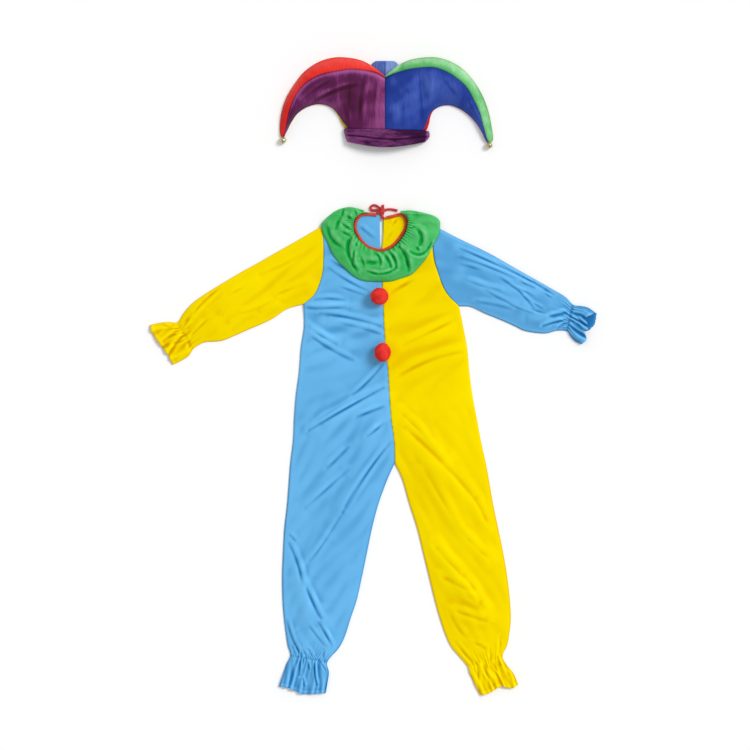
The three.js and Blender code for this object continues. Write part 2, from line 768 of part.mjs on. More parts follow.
function addNeck() {
  const height = HIDDEN_RUFF + GAP + CLOTH + GAP + BINDING.high / 2;
  const path = new THREE.CatmullRomCurve3(BINDING_PATH.map((p) => new THREE.Vector3(p.x, p.y, height)));
  const rings = path.getSpacedPoints(BINDING.segments).map((centre, i) => {
    const forward = path.getTangentAt(i / BINDING.segments);
    const side = new THREE.Vector3(-forward.y, forward.x, 0).normalize();
    return Array.from({ length: BINDING.sides }, (_, k) => {
      const turn = (2 * Math.PI * k) / BINDING.sides;
      const point = centre.clone().addScaledVector(side, (BINDING.wide / 2) * Math.cos(turn));
      point.z += (BINDING.high / 2) * Math.sin(turn);
      return point;
    });
  });
  addRod("neck_binding", rings, COLOURS.red);
  for (const [name, rows] of Object.entries(TIES)) {
    const points = rows.map((p) => new THREE.Vector3(p.x, p.y, p.z));
    const length = new THREE.CatmullRomCurve3(points, false, "centripetal").getLength();
    const steps = Math.max(3, Math.round(length / TIE_DIAMETER));
    addCord(name, points, TIE_DIAMETER, TIE_DIAMETER, TIE_SIDES, steps, COLOURS.red);
  }
  const knot = new THREE.SphereGeometry(0.5, 12, 8);
  knot.scale(KNOT.wide, KNOT.long, KNOT.high);
  knot.translate(KNOT.x, KNOT.y, KNOT.high / 2);
  addMesh("tie_knot", knot, COLOURS.red);
}

// A filled rod through rings of points, closed by a fan at each end.
function addRod(name, rings, colour) {
  const points = [];
  const faces = [];
  const loops = numbered(points, rings).map((ring) => [...ring, ring[0]]);
  for (let r = 0; r + 1 < loops.length; r += 1) {
    zip(faces, loops[r], loops[r + 1], false);
  }
  const fan = (loop, turned) => {
    for (let k = 1; k + 2 < loop.length; k += 1) {
      faces.push(turned ? [loop[0], loop[k + 1], loop[k]] : [loop[0], loop[k], loop[k + 1]]);
    }
  };
  fan(loops[0], true);
  fan(loops.at(-1), false);
  addSolid(name, points, faces, colour);
}

// A ball of pile with a small flat seat, set on the highest point of the front under that seat.
function addPompom({ name, x, y, wide, long, high }) {
  const seat = (wide / 2) * POMPOM_SEAT;
  let top = 0;
  for (const dx of [-seat, 0, seat]) {
    for (const dy of [-seat, 0, seat]) {
      top = Math.max(top, frontUnder(x + dx, y + dy, 1) + CLOTH);
    }
  }
  const low = Math.asin(POMPOM_SEAT);
  const profile = [new THREE.Vector2(0, -Math.cos(low))];
  const rings = POMPOM_SIDES / 2;
  for (let k = 0; k <= rings; k += 1) {
    const angle = mix(low, Math.PI, k / rings);
    profile.push(new THREE.Vector2(k === rings ? 0 : Math.sin(angle), -Math.cos(angle)));
  }
  const ball = new THREE.LatheGeometry(profile, POMPOM_SIDES);
  ball.rotateX(Math.PI / 2);
  const tall = high / (1 + Math.cos(low));
  ball.scale(wide / 2, long / 2, tall);
  ball.translate(x, y, top + GAP + tall * Math.cos(low));
  addMesh(name, ball, COLOURS.pompomRed, 0.9);
}

// Outer height of the band's front wall, and the line that the panels are sewn to.
function bandTop(x) {
  const across = clamp((x - BAND.left) / (BAND.right - BAND.left), 0, 1);
  return BAND.edge + BAND.rise * Math.sin(Math.PI * across) ** 0.6;
}

function bandSeamY(x) {
  return BAND.top + (BAND.slant * (x - BAND.left)) / (BAND.right - BAND.left);
}

function addBand() {
  const outer = [];
  const inner = [];
  for (let k = 0; k <= BAND_LEVELS; k += 1) {
    const level = k / BAND_LEVELS;
    const left = BAND.left + BAND.taper * level ** 2;
    const right = BAND.right - BAND.taper * level ** 2 + BAND.bulge * Math.sin(Math.PI * level);
    const ring = (margin) => {
      const steps = Array.from({ length: BAND_SIDES + 1 }, (_, side) => side / BAND_SIDES);
      const x = (across) => mix(left + margin, right - margin, across);
      const y = (across) => mix(mix(BAND.top, BAND.top + BAND.slant, across), BAND.foot, level);
      const dip = (across) => BAND.dip * level * Math.sin(Math.PI * across);
      const floor = steps.map((s) => new THREE.Vector3(x(s), y(s), margin));
      const roof = steps.map((s) => new THREE.Vector3(x(s), y(s) - dip(s), bandTop(x(s)) - margin));
      return [...floor, ...roof.reverse()];
    };
    outer.push(ring(0));
    inner.push(ring(BAND.wall));
  }
  addTube("hat_band", outer, inner, COLOURS.purple);
}

// Height and half width of the third point at a distance up the hat.
function thirdPointAt(y) {
  const rows = [...THIRD_POINT].reverse();
  const at = rows.findIndex((row) => row.y > y);
  if (at <= 0) return at < 0 ? rows.at(-1) : rows[0];
  const share = (y - rows[at - 1].y) / (rows[at].y - rows[at - 1].y);
  return { y, half: mix(rows[at - 1].half, rows[at].half, share), high: mix(rows[at - 1].high, rows[at].high, share) };
}

// Underside of the hat's back: on the surface, but raised over the third point and its bell.
function hatBackUnder(x, y) {
  const bell = BELLS[2];
  const aside = Math.abs(x - bell.x);
  const near = 1 - smoothstep(aside, THIRD_POINT_CLEAR.flat, THIRD_POINT_CLEAR.fade);
  const rising = smoothstep(y, THIRD_POINT_CLEAR.lowY, THIRD_POINT_CLEAR.highY);
  const overPoint = (thirdPointAt(y).high + 3 * GAP) * rising;
  const bellFar = Math.hypot(aside, Math.max(0, Math.abs(y - bell.y) - BELL_CLEAR.long * BELL.radius));
  const bellNear = 1 - smoothstep(bellFar, BELL.radius, BELL_CLEAR.fade * BELL.radius);
  const overBell = (2 * BELL.radius + BELL_CLEAR.over) * bellNear;
  return Math.max(overPoint * near, overBell * smoothstep(y, BELL_CLEAR.lowY, BELL_CLEAR.highY));
}

// One horn with its half of the crown: the front panel, the gusset on top and the back panel.
function addHorn(sections, names, colours) {
  const side = Math.sign(sections[1].lowX - sections[0].lowX);
  const places = sections.map((section, s) => {
    const shift = s === 0 ? (side * GAP) / 2 : 0;
    const lowY = section.band ? bandSeamY(section.lowX) + GAP : section.lowY;
    const lowZ = section.band ? bandTop(section.lowX) - HAT_CLOTH : HORN_EDGE;
    const outZ = hatBackUnder(section.outX, section.outY) + CLOTH + GAP;
    return {
      low: new THREE.Vector3(section.lowX + shift, lowY, lowZ),
      seam: new THREE.Vector3(section.seamX + shift, section.seamY, section.high - HAT_CLOTH),
      out: new THREE.Vector3(section.outX + shift, section.outY, outZ),
      crown: section.band,
      taper: section.high / sections[3].high,
    };
  });
  const inset = (from, to) => from.clone().addScaledVector(to.clone().sub(from).setZ(0).normalize(), GAP / 2);
  const front = places.map(({ low, seam, crown, taper }, s) => {
    const edge = inset(seam, low);
    return Array.from({ length: HAT_COLUMNS + 1 }, (_, k) => {
      const up = k / HAT_COLUMNS;
      const point = low.clone().lerp(edge, up);
      const bulge = crown ? CROWN_BULGE - s : HORN_BULGE;
      point.z = mix(low.z, seam.z, crown ? up : Math.sin((up * Math.PI) / 2) ** 0.8);
      point.z += bulge * taper * Math.sin(Math.PI * up);
      return point;
    });
  });
  addSheet(names.front, front, HAT_CLOTH, colours.front);
  const gusset = places.map(({ seam, out, taper }) => {
    const edge = inset(seam, out);
    const across = [0, 0.5, 1];
    return across.map((share) => {
      const point = edge.clone().lerp(out, share);
      point.z += HORN_BULGE * taper * Math.sin(Math.PI * share);
      return point;
    });
  });
  addSheet(names.gusset, gusset, HAT_CLOTH, colours.gusset);
  const back = places.map(({ low, out }, s) => {
    const show = s === 3 || s === 4 ? BACK_SHOW : 0;
    const start = new THREE.Vector3(low.x + (s === 3 ? 0 : side * show), low.y, 0);
    const columns = HAT_COLUMNS + 1;
    return Array.from({ length: columns + 1 }, (_, k) => {
      const point = start.clone().lerp(new THREE.Vector3(out.x, out.y, 0), k / columns);
      point.z = hatBackUnder(point.x, point.y);
      return point;
    });
  });
  addSheet(names.back, back, CLOTH, colours.back);
}

function addThirdPoint() {
  const centre = BELLS[2].x;
  const rings = THIRD_POINT.map(({ y, half, high }) => {
    const steps = Array.from({ length: THIRD_COLUMNS + 1 }, (_, k) => (2 * k) / THIRD_COLUMNS - 1);
    const floor = [-half, half].map((x) => new THREE.Vector3(centre + x, y, 0));
    const roof = steps.map((s) => {
      const round = Math.sqrt(Math.max(0, 1 - s * s));
      return new THREE.Vector3(centre + half * s, y, high * mix(THIRD_POINT_EDGE, 1, round));
    });
    return [...floor, ...roof.reverse()];
  });
  addRod("hat_third_point", rings, COLOURS.midBlue);
}

// A round bell.
function addBell({ name, x, y }) {
  const profile = [];
  const rings = BELL.sides / 2;
  for (let k = 0; k <= rings; k += 1) {
    const angle = (Math.PI * k) / rings;
    const radius = BELL.radius * Math.sin(angle);
    profile.push(new THREE.Vector2(k % rings === 0 ? 0 : radius, -BELL.radius * Math.cos(angle)));
  }
  const bell = new THREE.LatheGeometry(profile, BELL.sides);
  bell.rotateX(Math.PI / 2);
  bell.translate(x, y, BELL.radius);
  addMesh(name, bell, COLOURS.brass, 0.3, 0.9);
}

function addHat() {
  addBand();
  addHorn(
    LEFT_HORN,
    { front: "hat_front_left", gusset: "hat_gusset_left", back: "hat_back_left" },
    { front: COLOURS.purple, gusset: COLOURS.hatRed, back: COLOURS.hatYellow },
  );
  addHorn(
    RIGHT_HORN,
    { front: "hat_front_right", gusset: "hat_gusset_right", back: "hat_back_right" },
    { front: COLOURS.deepBlue, gusset: COLOURS.hatGreen, back: COLOURS.hatRed },
  );
  addThirdPoint();
  BELLS.forEach(addBell);
}

addSuit();
addRuff();
addNeck();
POMPOMS.forEach(addPompom);
addHat();

export default costume;
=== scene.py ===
import math

import bpy
import numpy as np
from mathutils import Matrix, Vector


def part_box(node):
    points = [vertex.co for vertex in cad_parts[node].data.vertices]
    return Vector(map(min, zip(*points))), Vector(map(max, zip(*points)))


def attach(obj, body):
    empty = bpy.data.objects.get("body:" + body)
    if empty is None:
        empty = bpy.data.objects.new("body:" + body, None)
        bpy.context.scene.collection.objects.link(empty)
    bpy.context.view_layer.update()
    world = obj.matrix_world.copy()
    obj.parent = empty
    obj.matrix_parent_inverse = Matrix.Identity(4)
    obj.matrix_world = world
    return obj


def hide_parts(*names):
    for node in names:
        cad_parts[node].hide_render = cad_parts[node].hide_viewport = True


# A jester costume laid out flat: a two-colour jumpsuit with a ruff and pompoms, and a three-point hat.
# Sizes are in millimetres in the frame's axes and become metres where a mesh is made. Left and right are a
# viewer's who looks straight down.

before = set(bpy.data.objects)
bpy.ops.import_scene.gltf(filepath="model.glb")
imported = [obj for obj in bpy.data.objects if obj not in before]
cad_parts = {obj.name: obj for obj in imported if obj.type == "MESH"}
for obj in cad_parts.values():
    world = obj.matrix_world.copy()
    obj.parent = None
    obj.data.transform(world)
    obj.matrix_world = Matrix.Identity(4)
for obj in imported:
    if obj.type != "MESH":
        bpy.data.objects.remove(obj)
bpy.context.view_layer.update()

MM = 0.001
BODY = "root"
SEED = 11
TURN = 2 * math.pi
# Angle of a ball's first and last ring, just short of its poles
POLE = 0.494 * math.pi

# Camera, straight above the middle of the photograph's frame
FRAME_WIDTH = 1650
CAMERA = (2.2, 4.4, 8000)
SENSOR = 36

# Floor, in metres, the sky's strength, and the sun's with its width and direction in degrees
FLOOR = {"size": 12, "under": -0.0003}
SKY = 0.6
SUN = {"energy": 1.8, "wide": 22, "azimuth": 32, "elevation": 46}

# Walls and gaps of the cloth
CLOTH = 1.2
HAT_CLOTH = 1.5
GAP = 0.3

# Grids of the suit: places across and the longest step along, which is FINE_STEP at the ankles
FRONT_GRID = {"columns": 92, "step": 3.4}
BACK_GRID = {"columns": 56, "step": 4.6}
SLEEVE_GRID = {"columns": 60, "step": 3.2}
FINE_STEP = 2.2

# Suit: height of the lofted fronts and of the sleeves' folded edges, waves of a frill, and rows of its tables
LOFT = 3
SLEEVE_EDGE = 3.4
ANKLE_FLUTES = 5
CUFF_FLUTES = 4
ELASTIC_ROW = 3
CUFF_ELASTIC_ROW = 9
CROTCH_ROW = 13
ARMPIT_ROW = 20
NECK_ROW = 24
SHOULDER_ROW = 27

# Neck: the binding, the ruff's hidden ends with the raised place over them, and where the ruff comes down past
# the shoulders
BINDING_WIDE = 7
BINDING_HIGH = 4.4
HIDDEN_RUFF = 2.6
NECK_CENTRE_X = 14
NECK_RAISE = {"x": 15, "y": 322, "wide": 66, "long": 46, "fade": 1.6}
SHOULDER = {"in_x": 62, "out_x": 82, "low_y": 338, "high_y": 356}
RUFF_GRID = {"steps": 420, "rows": 44}
# Gathers, puff, broad waves and creases of the ruff, its least height and how wide its rim is rounded
RUFF = {"gathers": 42, "gather": 2.6, "puff": 8.5, "waves": 9, "wave": 1.6, "crease": 1.45, "broad": 1.35,
        "least": 2.4, "rim": 6}
TIE_DIAMETER = 5
KNOT = {"x": 17, "y": 365, "wide": 13.5, "long": 18.5, "high": 9.4}
# How much thicker or thinner than its diameter each tie is, at even places along it
TIE_SWELL = {"tie_loop_cord": (1.1, 1.0, 1.08, 1.1, 1.0), "tie_tail_cord": (1.34, 1.3, 1.1, 1.0, 1.1)}

# Pompoms: middle and width in x and y, and the lumps and fibres of their pile
POMPOMS = {
    "pompom_upper": {"x": 12, "y": 177, "wide": 41, "long": 39},
    "pompom_lower": {"x": 19, "y": 54, "wide": 37, "long": 43},
}
PILE = {"size": 0.93, "lumps": 46, "lump_wide": 0.035, "lump_high": 0.035, "fibres": 2600, "root": 0.92,
        "lean": 0.35, "thick": 0.28, "short": 1.2, "long": 2.6}

# Hat
BAND = {"left": -66, "right": 120, "top": 546, "slant": -5, "foot": 516, "dip": 12, "taper": 8, "bulge": 4,
        "edge": 8, "rise": 18, "wall": 2.4}
HORN_STEP = 2.6
HORN_EDGE = 2.4
HORN_BULGE = 5
HORN_HIGH = 26
BACK_SHOW = 5
BELL_RADIUS = 7.2
BELL_BACK = (24, 573.5)
BELL_MOUTHS = {"bell_left": (-0.1, -1), "bell_right": (0.2, -1), "bell_back": (0, -1)}
ROLLED_SEAM = 0.075

# Low uneven waves of the cloth: their height, mean length and how far they are drawn out
RIPPLE_WAVES = 9
RIPPLES = {
    "leg": {"size": 0.38, "length": 38, "stretch": 4},
    "torso": {"size": 0.5, "length": 36, "stretch": 4},
    "ankle": {"size": 1.1, "length": 15, "stretch": 3.5},
    "back": {"size": 0.7, "length": 50, "stretch": 1},
    "arm": {"size": 0.5, "length": 30, "stretch": 4},
    "cuff": {"size": 0.8, "length": 14, "stretch": 3.5},
    "ruff": {"size": 0.4, "length": 26, "stretch": 1},
    "ruff_fine": {"size": 0.1, "length": 11, "stretch": 1},
    "band": {"size": 0.4, "length": 14, "stretch": 4},
    "horn": {"size": 0.5, "length": 34, "stretch": 1},
    "gusset": {"size": 0.6, "length": 26, "stretch": 1},
}

# Panels of the suit: side, finish, seed, and the cut of what shows with its area, in metres
PANELS = {
    "front_blue": {"side": "left", "slot": "sky_blue_knit", "seed": 1, "flat": (0.25, 1.12), "area": 0.175},
    "front_yellow": {"side": "right", "slot": "yellow_knit", "seed": 2, "flat": (0.25, 1.12), "area": 0.164},
    "back_blue": {"side": "left", "slot": "sky_blue_knit", "seed": 3, "flat": (0.25, 1.14), "area": 0.178},
    "back_yellow": {"side": "right", "slot": "yellow_knit", "seed": 4, "flat": (0.25, 1.14), "area": 0.166},
    "sleeve_yellow": {"side": "left", "slot": "yellow_knit", "seed": 6, "flat": (0.36, 0.42), "area": 0.09},
    "sleeve_blue": {"side": "right", "slot": "sky_blue_knit", "seed": 7, "flat": (0.36, 0.4), "area": 0.083},
}
# Directions of a front's ripples over the torso, leg and frill, how deep and broad its creases are, how high
# and how many its gathers are, and how much painted shade darkens its frill
FRONT_STYLES = {
    "left": {"way": 0.15, "leg_way": 0.95, "frill_way": 1.5, "crease": 0.92, "broad": 0.95,
             "gather": 2.2, "close": 16, "frill": 0.22},
    "right": {"way": 0.4, "leg_way": -0.95, "frill_way": -1.1, "crease": 0.7, "broad": 1.35,
              "gather": 1.3, "close": 10, "frill": 0.02},
}
# How much darker a sleeve is painted all over and how much painted shade darkens its frill; direction of its
# ripples; how high the arm's creases are; the frill's puff, lowest height, waves and creases; height and
# number of its gathers; and how far the upper wall of its mouth lies back
SLEEVE_STYLES = {
    "left": {"tone": 0, "frill": 0.12, "way": 0.5, "arm": 0.6, "puff": 0.16, "low": 0.04, "waves": 0.25,
             "crease": 0.75, "gather": 1.7, "close": 10, "back": 0},
    "right": {"tone": 0.16, "frill": 0.35, "way": -0.5, "arm": 1, "puff": 0.3, "low": 0.2, "waves": 0.65,
              "crease": 1.1, "gather": 2.4, "close": 16, "back": 22},
}
# What counts as a trough for the painted shading: how many grid steps round a point it is lower than, and by
# how much
HOLLOW = {"reach": 6, "deep": 1.2}
# Profile of a crease: its trough and the ridge beside it as shares of its depth, and how wide both are, how
# far aside the ridge lies and where it starts to end, in widths of the crease
CREASE = {"trough": 0.66, "ridge": 0.54, "trough_wide": 0.5, "ridge_wide": 0.8, "aside": 1.05, "end": 3}
# How wide the centre seam, an armhole and a folded side draw the cloth in, and how wide their edges are shaded
SEAM = {"centre": 3.2, "armhole": 3, "side": 2.5, "shade": 2.6}
# Hem of a frill: number and depth of its scallops, and the thickness and width of its fold
HEM = {"scallops": 8, "scallop": 0.8, "fold": 0.5, "from": 6.5, "to": 8.5}
# Gathers at an elastic: how many broad ones there are on the frill, how many times the close ones change in
# length, how deep the elastic's groove is and how far they reach onto the cloth and the frill
GATHERS = {"below": 9, "long": 4.3, "groove": 0.5, "up": 24, "ankle_down": 22, "cuff_down": 20}

# Panels of a horn from front to back: the cut of what shows, how it is held, and its area, in metres
HORN_PANELS = {
    "front": {"flat": (0.26, 0.15), "held": "stretched", "area": 0.0215},
    "gusset": {"flat": (0.3, 0.036), "held": "stretched", "area": 0.0102},
    "back": {"flat": (0.26, 0.18), "held": "laid", "area": 0.0265},
}
# Of each horn: its side's sign, seed and finishes, and its painted shade, above 0, and painted highlight,
# below
# it: of the front beside the upper seam, in the middle, beside the hat's centre seam and at the tip, and of
# the gusset
HORN_STYLES = {
    "left": {"sign": -1, "seed": 51, "slots": ("hat_purple", "hat_red", "hat_yellow"),
             "seam": -0.8, "middle": 0.6, "centre": -0.35, "tip": 0.7, "gusset": 0.3},
    "right": {"sign": 1, "seed": 55, "slots": ("hat_blue", "hat_green", "hat_red"),
              "seam": 0.3, "middle": -0.3, "centre": 0.55, "tip": 0.1, "gusset": 0.8},
}


def table(columns, rows):
    """A short table as one array for each named column."""
    values = np.array(rows, dtype=float)
    return {name: values[:, k] for k, name in enumerate(columns.split())}


# Torso from the crotch to the foot of the neck: left side, centre seam, right side, and how open it is at the
# sides.
TORSO = table("left_x left_y seam_x seam_y right_x right_y open", [
    (-184, -189, 46, -189, 246, -189, 0),
    (-178, -139, 44, -139, 235, -139, 0),
    (-176, -95, 38, -95, 227, -95, 0),
    (-172, -42, 34, -42, 217, -42, 0),
    (-165, 11, 31, 11, 210, 11, 0),
    (-161, 64, 25, 64, 205, 64, 0),
    (-154, 112, 22, 115, 196, 112, 0),
    (-155, 160, 20, 160, 187, 156, 0.3),
    (-132, 180, 19, 188, 165, 178, 0.8),
    (-120, 205, 18, 214, 152, 200, 1),
    (-113, 231, 17, 243, 140, 231, 1),
    (-111, 262, 15, 273.5, 132, 263, 1),
])

# Legs from the hem to the crotch: outer side, inseam and the height of the frill's waves.
LEFT_LEG = table("out_x out_y in_x in_y flute", [
    (-209, -680, -106, -695, 9),
    (-201, -656, -102, -673, 7),
    (-193, -632, -99, -650, 4),
    (-184, -612, -102, -626, 1.6),
    (-190, -590, -77, -596, 0),
    (-194, -563, -63, -568, 0),
    (-198, -530, -51, -530, 0),
    (-201, -491, -38, -491, 0),
    (-202, -438, -26, -438, 0),
    (-200, -385, -15, -385, 0),
    (-197, -332, -4, -332, 0),
    (-191, -279, 10, -279, 0),
    (-187, -227, 29, -227, 0),
])
RIGHT_LEG = table("out_x out_y in_x in_y flute", [
    (317, -676, 233, -699, 9),
    (307, -652, 223, -678, 7),
    (291, -632, 212, -656, 4),
    (283, -613, 205, -635, 1.6),
    (293, -590, 172, -596, 0),
    (298, -563, 158, -568, 0),
    (301, -530, 145, -530, 0),
    (299, -491, 134, -491, 0),
    (293, -438, 121, -438, 0),
    (284, -385, 108, -385, 0),
    (273, -332, 95, -332, 0),
    (262, -279, 78, -279, 0),
    (253, -227, 63, -227, 0),
])
LEGS = {"left": LEFT_LEG, "right": RIGHT_LEG}

# Above the foot of the neck: the fronts run along the neckline, the backs along the slit.
YOKES = {
    "left_front": table("out_x out_y in_x in_y open", [
        (-111, 288, -20, 281, 1), (-112, 310, -39.5, 302, 1), (-114, 332, -47, 325, 1),
        (-64, 342, -47, 345, 0.4),
    ]),
    "right_front": table("out_x out_y in_x in_y open", [
        (129, 290, 43, 282, 1), (134, 310, 67, 308, 1), (145, 326, 75.5, 332, 1), (94, 340, 76, 345, 0.4),
    ]),
    "left_back": table("out_x out_y in_x in_y open", [
        (-111, 288, 14, 290, 1), (-112, 310, 13.4, 312, 1), (-114, 332, 13, 334, 1), (-47, 348, 13, 348, 1),
        (-34, 357.5, 13, 356.5, 1),
    ]),
    "right_back": table("out_x out_y in_x in_y open", [
        (129, 290, 18.5, 290, 1), (134, 310, 20, 312, 1), (145, 326, 20.5, 330, 1), (77, 347, 21, 341, 1),
        (64, 357.5, 22, 350.5, 1),
    ]),
}

# Sleeves from the armhole to the hem: the upper and the lower folded edge.
SLEEVES = {
    "left": table("top_x top_y low_x low_y loft flute", [
        (-114, 332, -155, 160, 3, 0),
        (-169, 300, -190, 150, 4, 0),
        (-222, 270, -222, 129, 5, 0),
        (-255, 251, -249, 116, 5, 0),
        (-288, 233, -275, 105, 5, 0),
        (-322, 213, -304, 92, 5, 0),
        (-355, 193, -335, 80, 5, 0),
        (-395, 166, -370, 77, 5, 0),
        (-418, 142, -386, 70, 4, 1),
        (-432, 121, -398, 61, 3, 2.2),
        (-452, 121, -408, 46, 5, 5),
        (-472, 119, -424, 36, 6, 7),
        (-493, 114, -442, 27, 6, 9),
    ]),
    "right": table("top_x top_y low_x low_y loft flute", [
        (145, 326, 187, 156, 3, 0),
        (181, 307, 214, 154, 4, 0),
        (235, 281, 244, 140, 5, 0),
        (262, 267, 266, 131, 5, 0),
        (290, 251, 290, 121, 5, 0),
        (316, 236, 312, 111, 5, 0),
        (343, 221, 334, 101, 5, 0),
        (394, 192, 375, 96, 5, 0),
        (421, 176, 402, 102, 4, 1),
        (438, 159, 424, 101, 3, 2.2),
        (455, 156, 432, 90, 5, 6),
        (472, 152, 442, 79, 7, 9),
        (490, 139, 456, 72, 8, 12),
    ]),
}

# Hems of the frills: how far each reaches past a straight line between its two corners.
HEMS = {
    "left_leg": table("across past", [
        (0, 0), (0.18, 0.5), (0.36, 5), (0.5, 9), (0.64, 7.5), (0.84, 3), (1, 0),
    ]),
    "right_leg": table("across past", [
        (0, 0), (0.14, 4.5), (0.28, 1), (0.4, -5), (0.5, -6), (0.6, -2.5), (0.8, 2), (1, 0),
    ]),
    "left_sleeve": table("across past", [
        (0, 0), (0.22, -1), (0.44, 0.5), (0.66, 3), (0.86, 4), (1, 0),
    ]),
    "right_sleeve": table("across past", [
        (0, 0), (0.12, 4), (0.22, 4.5), (0.36, -6), (0.5, 2), (0.7, 6), (0.86, 3), (1, 0),
    ]),
}

# Broad soft ridges: the ends and the middle of each, its height and half width.
FOLDS = table("x0 y0 xm ym x1 y1 high wide", [
    (-152, 158, -100, 160, -45, 155, 4, 16),
    (-110, 128, -60, 124, -5, 112, 3, 16),
    (-150, 110, -110, 84, -60, 78, 3.5, 17),
    (-125, -108, -70, -78, 15, -40, 4, 22),
    (-150, -115, -100, -80, -40, -50, -2, 16),
    (5, -110, -30, -210, -85, -310, 2.8, 22),
    (-60, -205, -110, -240, -160, -295, 2.4, 20),
    (-100, -350, -130, -400, -150, -440, 2.4, 18),
    (-168, -420, -150, -500, -135, -560, 4, 18),
    (-175, -560, -150, -590, -140, -620, 3, 14),
    (-115, -510, -100, -560, -100, -600, 3, 16),
    (195, 124, 120, 95, 60, 70, 2.4, 20),
    (205, 56, 130, 40, 50, 0, 2.6, 20),
    (55, -80, 110, -130, 160, -180, 3.2, 18),
    (70, -130, 170, -230, 255, -330, 5, 20),
    (110, -200, 170, -320, 250, -400, 3.5, 18),
    (130, -370, 180, -430, 240, -510, 4, 18),
    (150, -440, 200, -480, 240, -500, 3, 18),
    (180, -515, 215, -530, 250, -535, 3, 16),
    (-370, 172, -400, 145, -415, 125, 3, 14),
    (-140, 200, -230, 165, -330, 120, 2.5, 20),
    (-240, 230, -300, 190, -360, 150, 2.5, 20),
    (188, 285, 260, 250, 360, 200, 4, 18),
    (190, 225, 270, 190, 330, 150, 3, 20),
    (330, 130, 370, 130, 400, 125, 3, 14),
])

# Creases of the suit: each follows its dark line, with depth, half width and the side of its ridge, 1 or -1
# for the left or right of its course.
CREASES = table("x0 y0 xm ym x1 y1 deep wide side", [
    (-154, 154, -130, 149, -62, 154, 3, 8, 1),
    (-130, 169, -103, 176, -64, 168, 2, 7, 1),
    (-117, 139, -55, 134, 15, 112, 3, 8, 1),
    (-75, 119, -18, 108, 20, 92, 2, 7, 1),
    (-147, 112, -117, 88, -84, 73, 3, 8, 1),
    (-143, 95, -103, 62, -48, 37, 2.5, 8, 1),
    (24, 35, 4, 3, -46, -40, 2.2, 6.5, -1),
    (21, -24, -62, -68, -142, -117, 4, 7.5, -1),
    (4, -26, -70, -60, -128, -98, 2, 6, -1),
    (18, -66, -9, -76, -37, -88, 2.5, 7, -1),
    (21, -102, 2, -118, -13, -130, 2.5, 7, -1),
    (-94, 257, -53, 229, 4, 211, 2.4, 6, 1),
    (-99, 240, -65, 213, -13, 189, 2.4, 6, 1),
    (-74, 199, -50, 190, -22, 181, 1.8, 6, 1),
    (-57, -156, -79, -178, -101, -200, 2, 8, -1),
    (-57, -205, -103, -246, -150, -288, 1.9, 8, -1),
    (37, -143, -46, -244, -68, -297, 2.4, 7, -1),
    (-68, -297, -112, -372, -141, -405, 1.9, 7, -1),
    (22, -160, -30, -232, -60, -290, 1.4, 6, 1),
    (-187, -345, -181, -352, -174, -359, 2, 6, 1),
    (-187, -365, -163, -412, -158, -455, 4, 8, 1),
    (-150, -458, -134, -501, -117, -530, 4.5, 8, 1),
    (-192, -535, -184, -576, -160, -613, 5, 6, 1),
    (-121, -540, -107, -564, -93, -589, 4, 6, 1),
    (-144, -544, -127, -570, -107, -591, 2, 6, 1),
    (-144, -597, -139, -606, -134, -615, 2.5, 3.5, 1),
    (-156, -599, -152, -606, -148, -615, 2.5, 3.5, 1),
    (-180, -588, -177, -598, -174, -608, 2.5, 4, 1),
    (-110, -597, -108, -606, -112, -616, 2, 3.5, 1),
    (-162, -620, -163, -636, -165, -655, 5, 5, 1),
    (-132, -630, -131, -654, -126, -678, 5, 4.5, 1),
    (-146, -626, -144, -634, -142, -644, 3, 3.5, 1),
    (-119, -622, -114, -634, -106, -645, 3, 3.5, 1),
    (-156, -662, -155, -670, -154, -680, 3, 4, 1),
    (41, 187, 62, 201, 86, 213, 3, 7, 1),
    (177, 124, 134, 103, 64, 70, 3, 8, -1),
    (202, 56, 125, 48, 46, -4, 3.5, 9, -1),
    (56, -75, 97, -112, 132, -158, 3, 8, 1),
    (70, -112, 132, -163, 222, -268, 3.5, 9, 1),
    (222, -268, 240, -300, 253, -330, 2.5, 8, 1),
    (108, -196, 154, -279, 191, -339, 3, 9, 1),
    (191, -339, 220, -372, 253, -400, 2.5, 8, 1),
    (130, -366, 163, -407, 197, -438, 3, 9, 1),
    (197, -438, 222, -462, 240, -508, 2.5, 8, 1),
    (147, -438, 185, -457, 216, -471, 2.5, 8, 1),
    (187, -455, 207, -484, 232, -497, 2.5, 8, 1),
    (178, -513, 216, -528, 246, -536, 4, 8, 1),
    (167, -517, 179, -552, 202, -573, 3, 7, 1),
    (178, -582, 201, -614, 222, -634, 4, 5, 1),
    (222, -585, 234, -590, 246, -598, 2.5, 5, 1),
    (255, -594, 256, -610, 257, -627, 2.5, 4, -1),
    (277, -574, 278, -590, 277, -606, 2.5, 4, -1),
    (242, -630, 247, -654, 255, -680, 4, 5, 1),
    (226, -634, 228, -654, 232, -676, 3.5, 4, 1),
    (284, -628, 290, -640, 296, -655, 3.5, 5, -1),
    (-28, 329, -14, 316, 2, 306, 1.6, 6, 1),
    (51, 347, 45, 340, 40, 333, 1.2, 5, -1),
    (40, 320, 32, 309, 25, 298, 1.2, 5, -1),
])
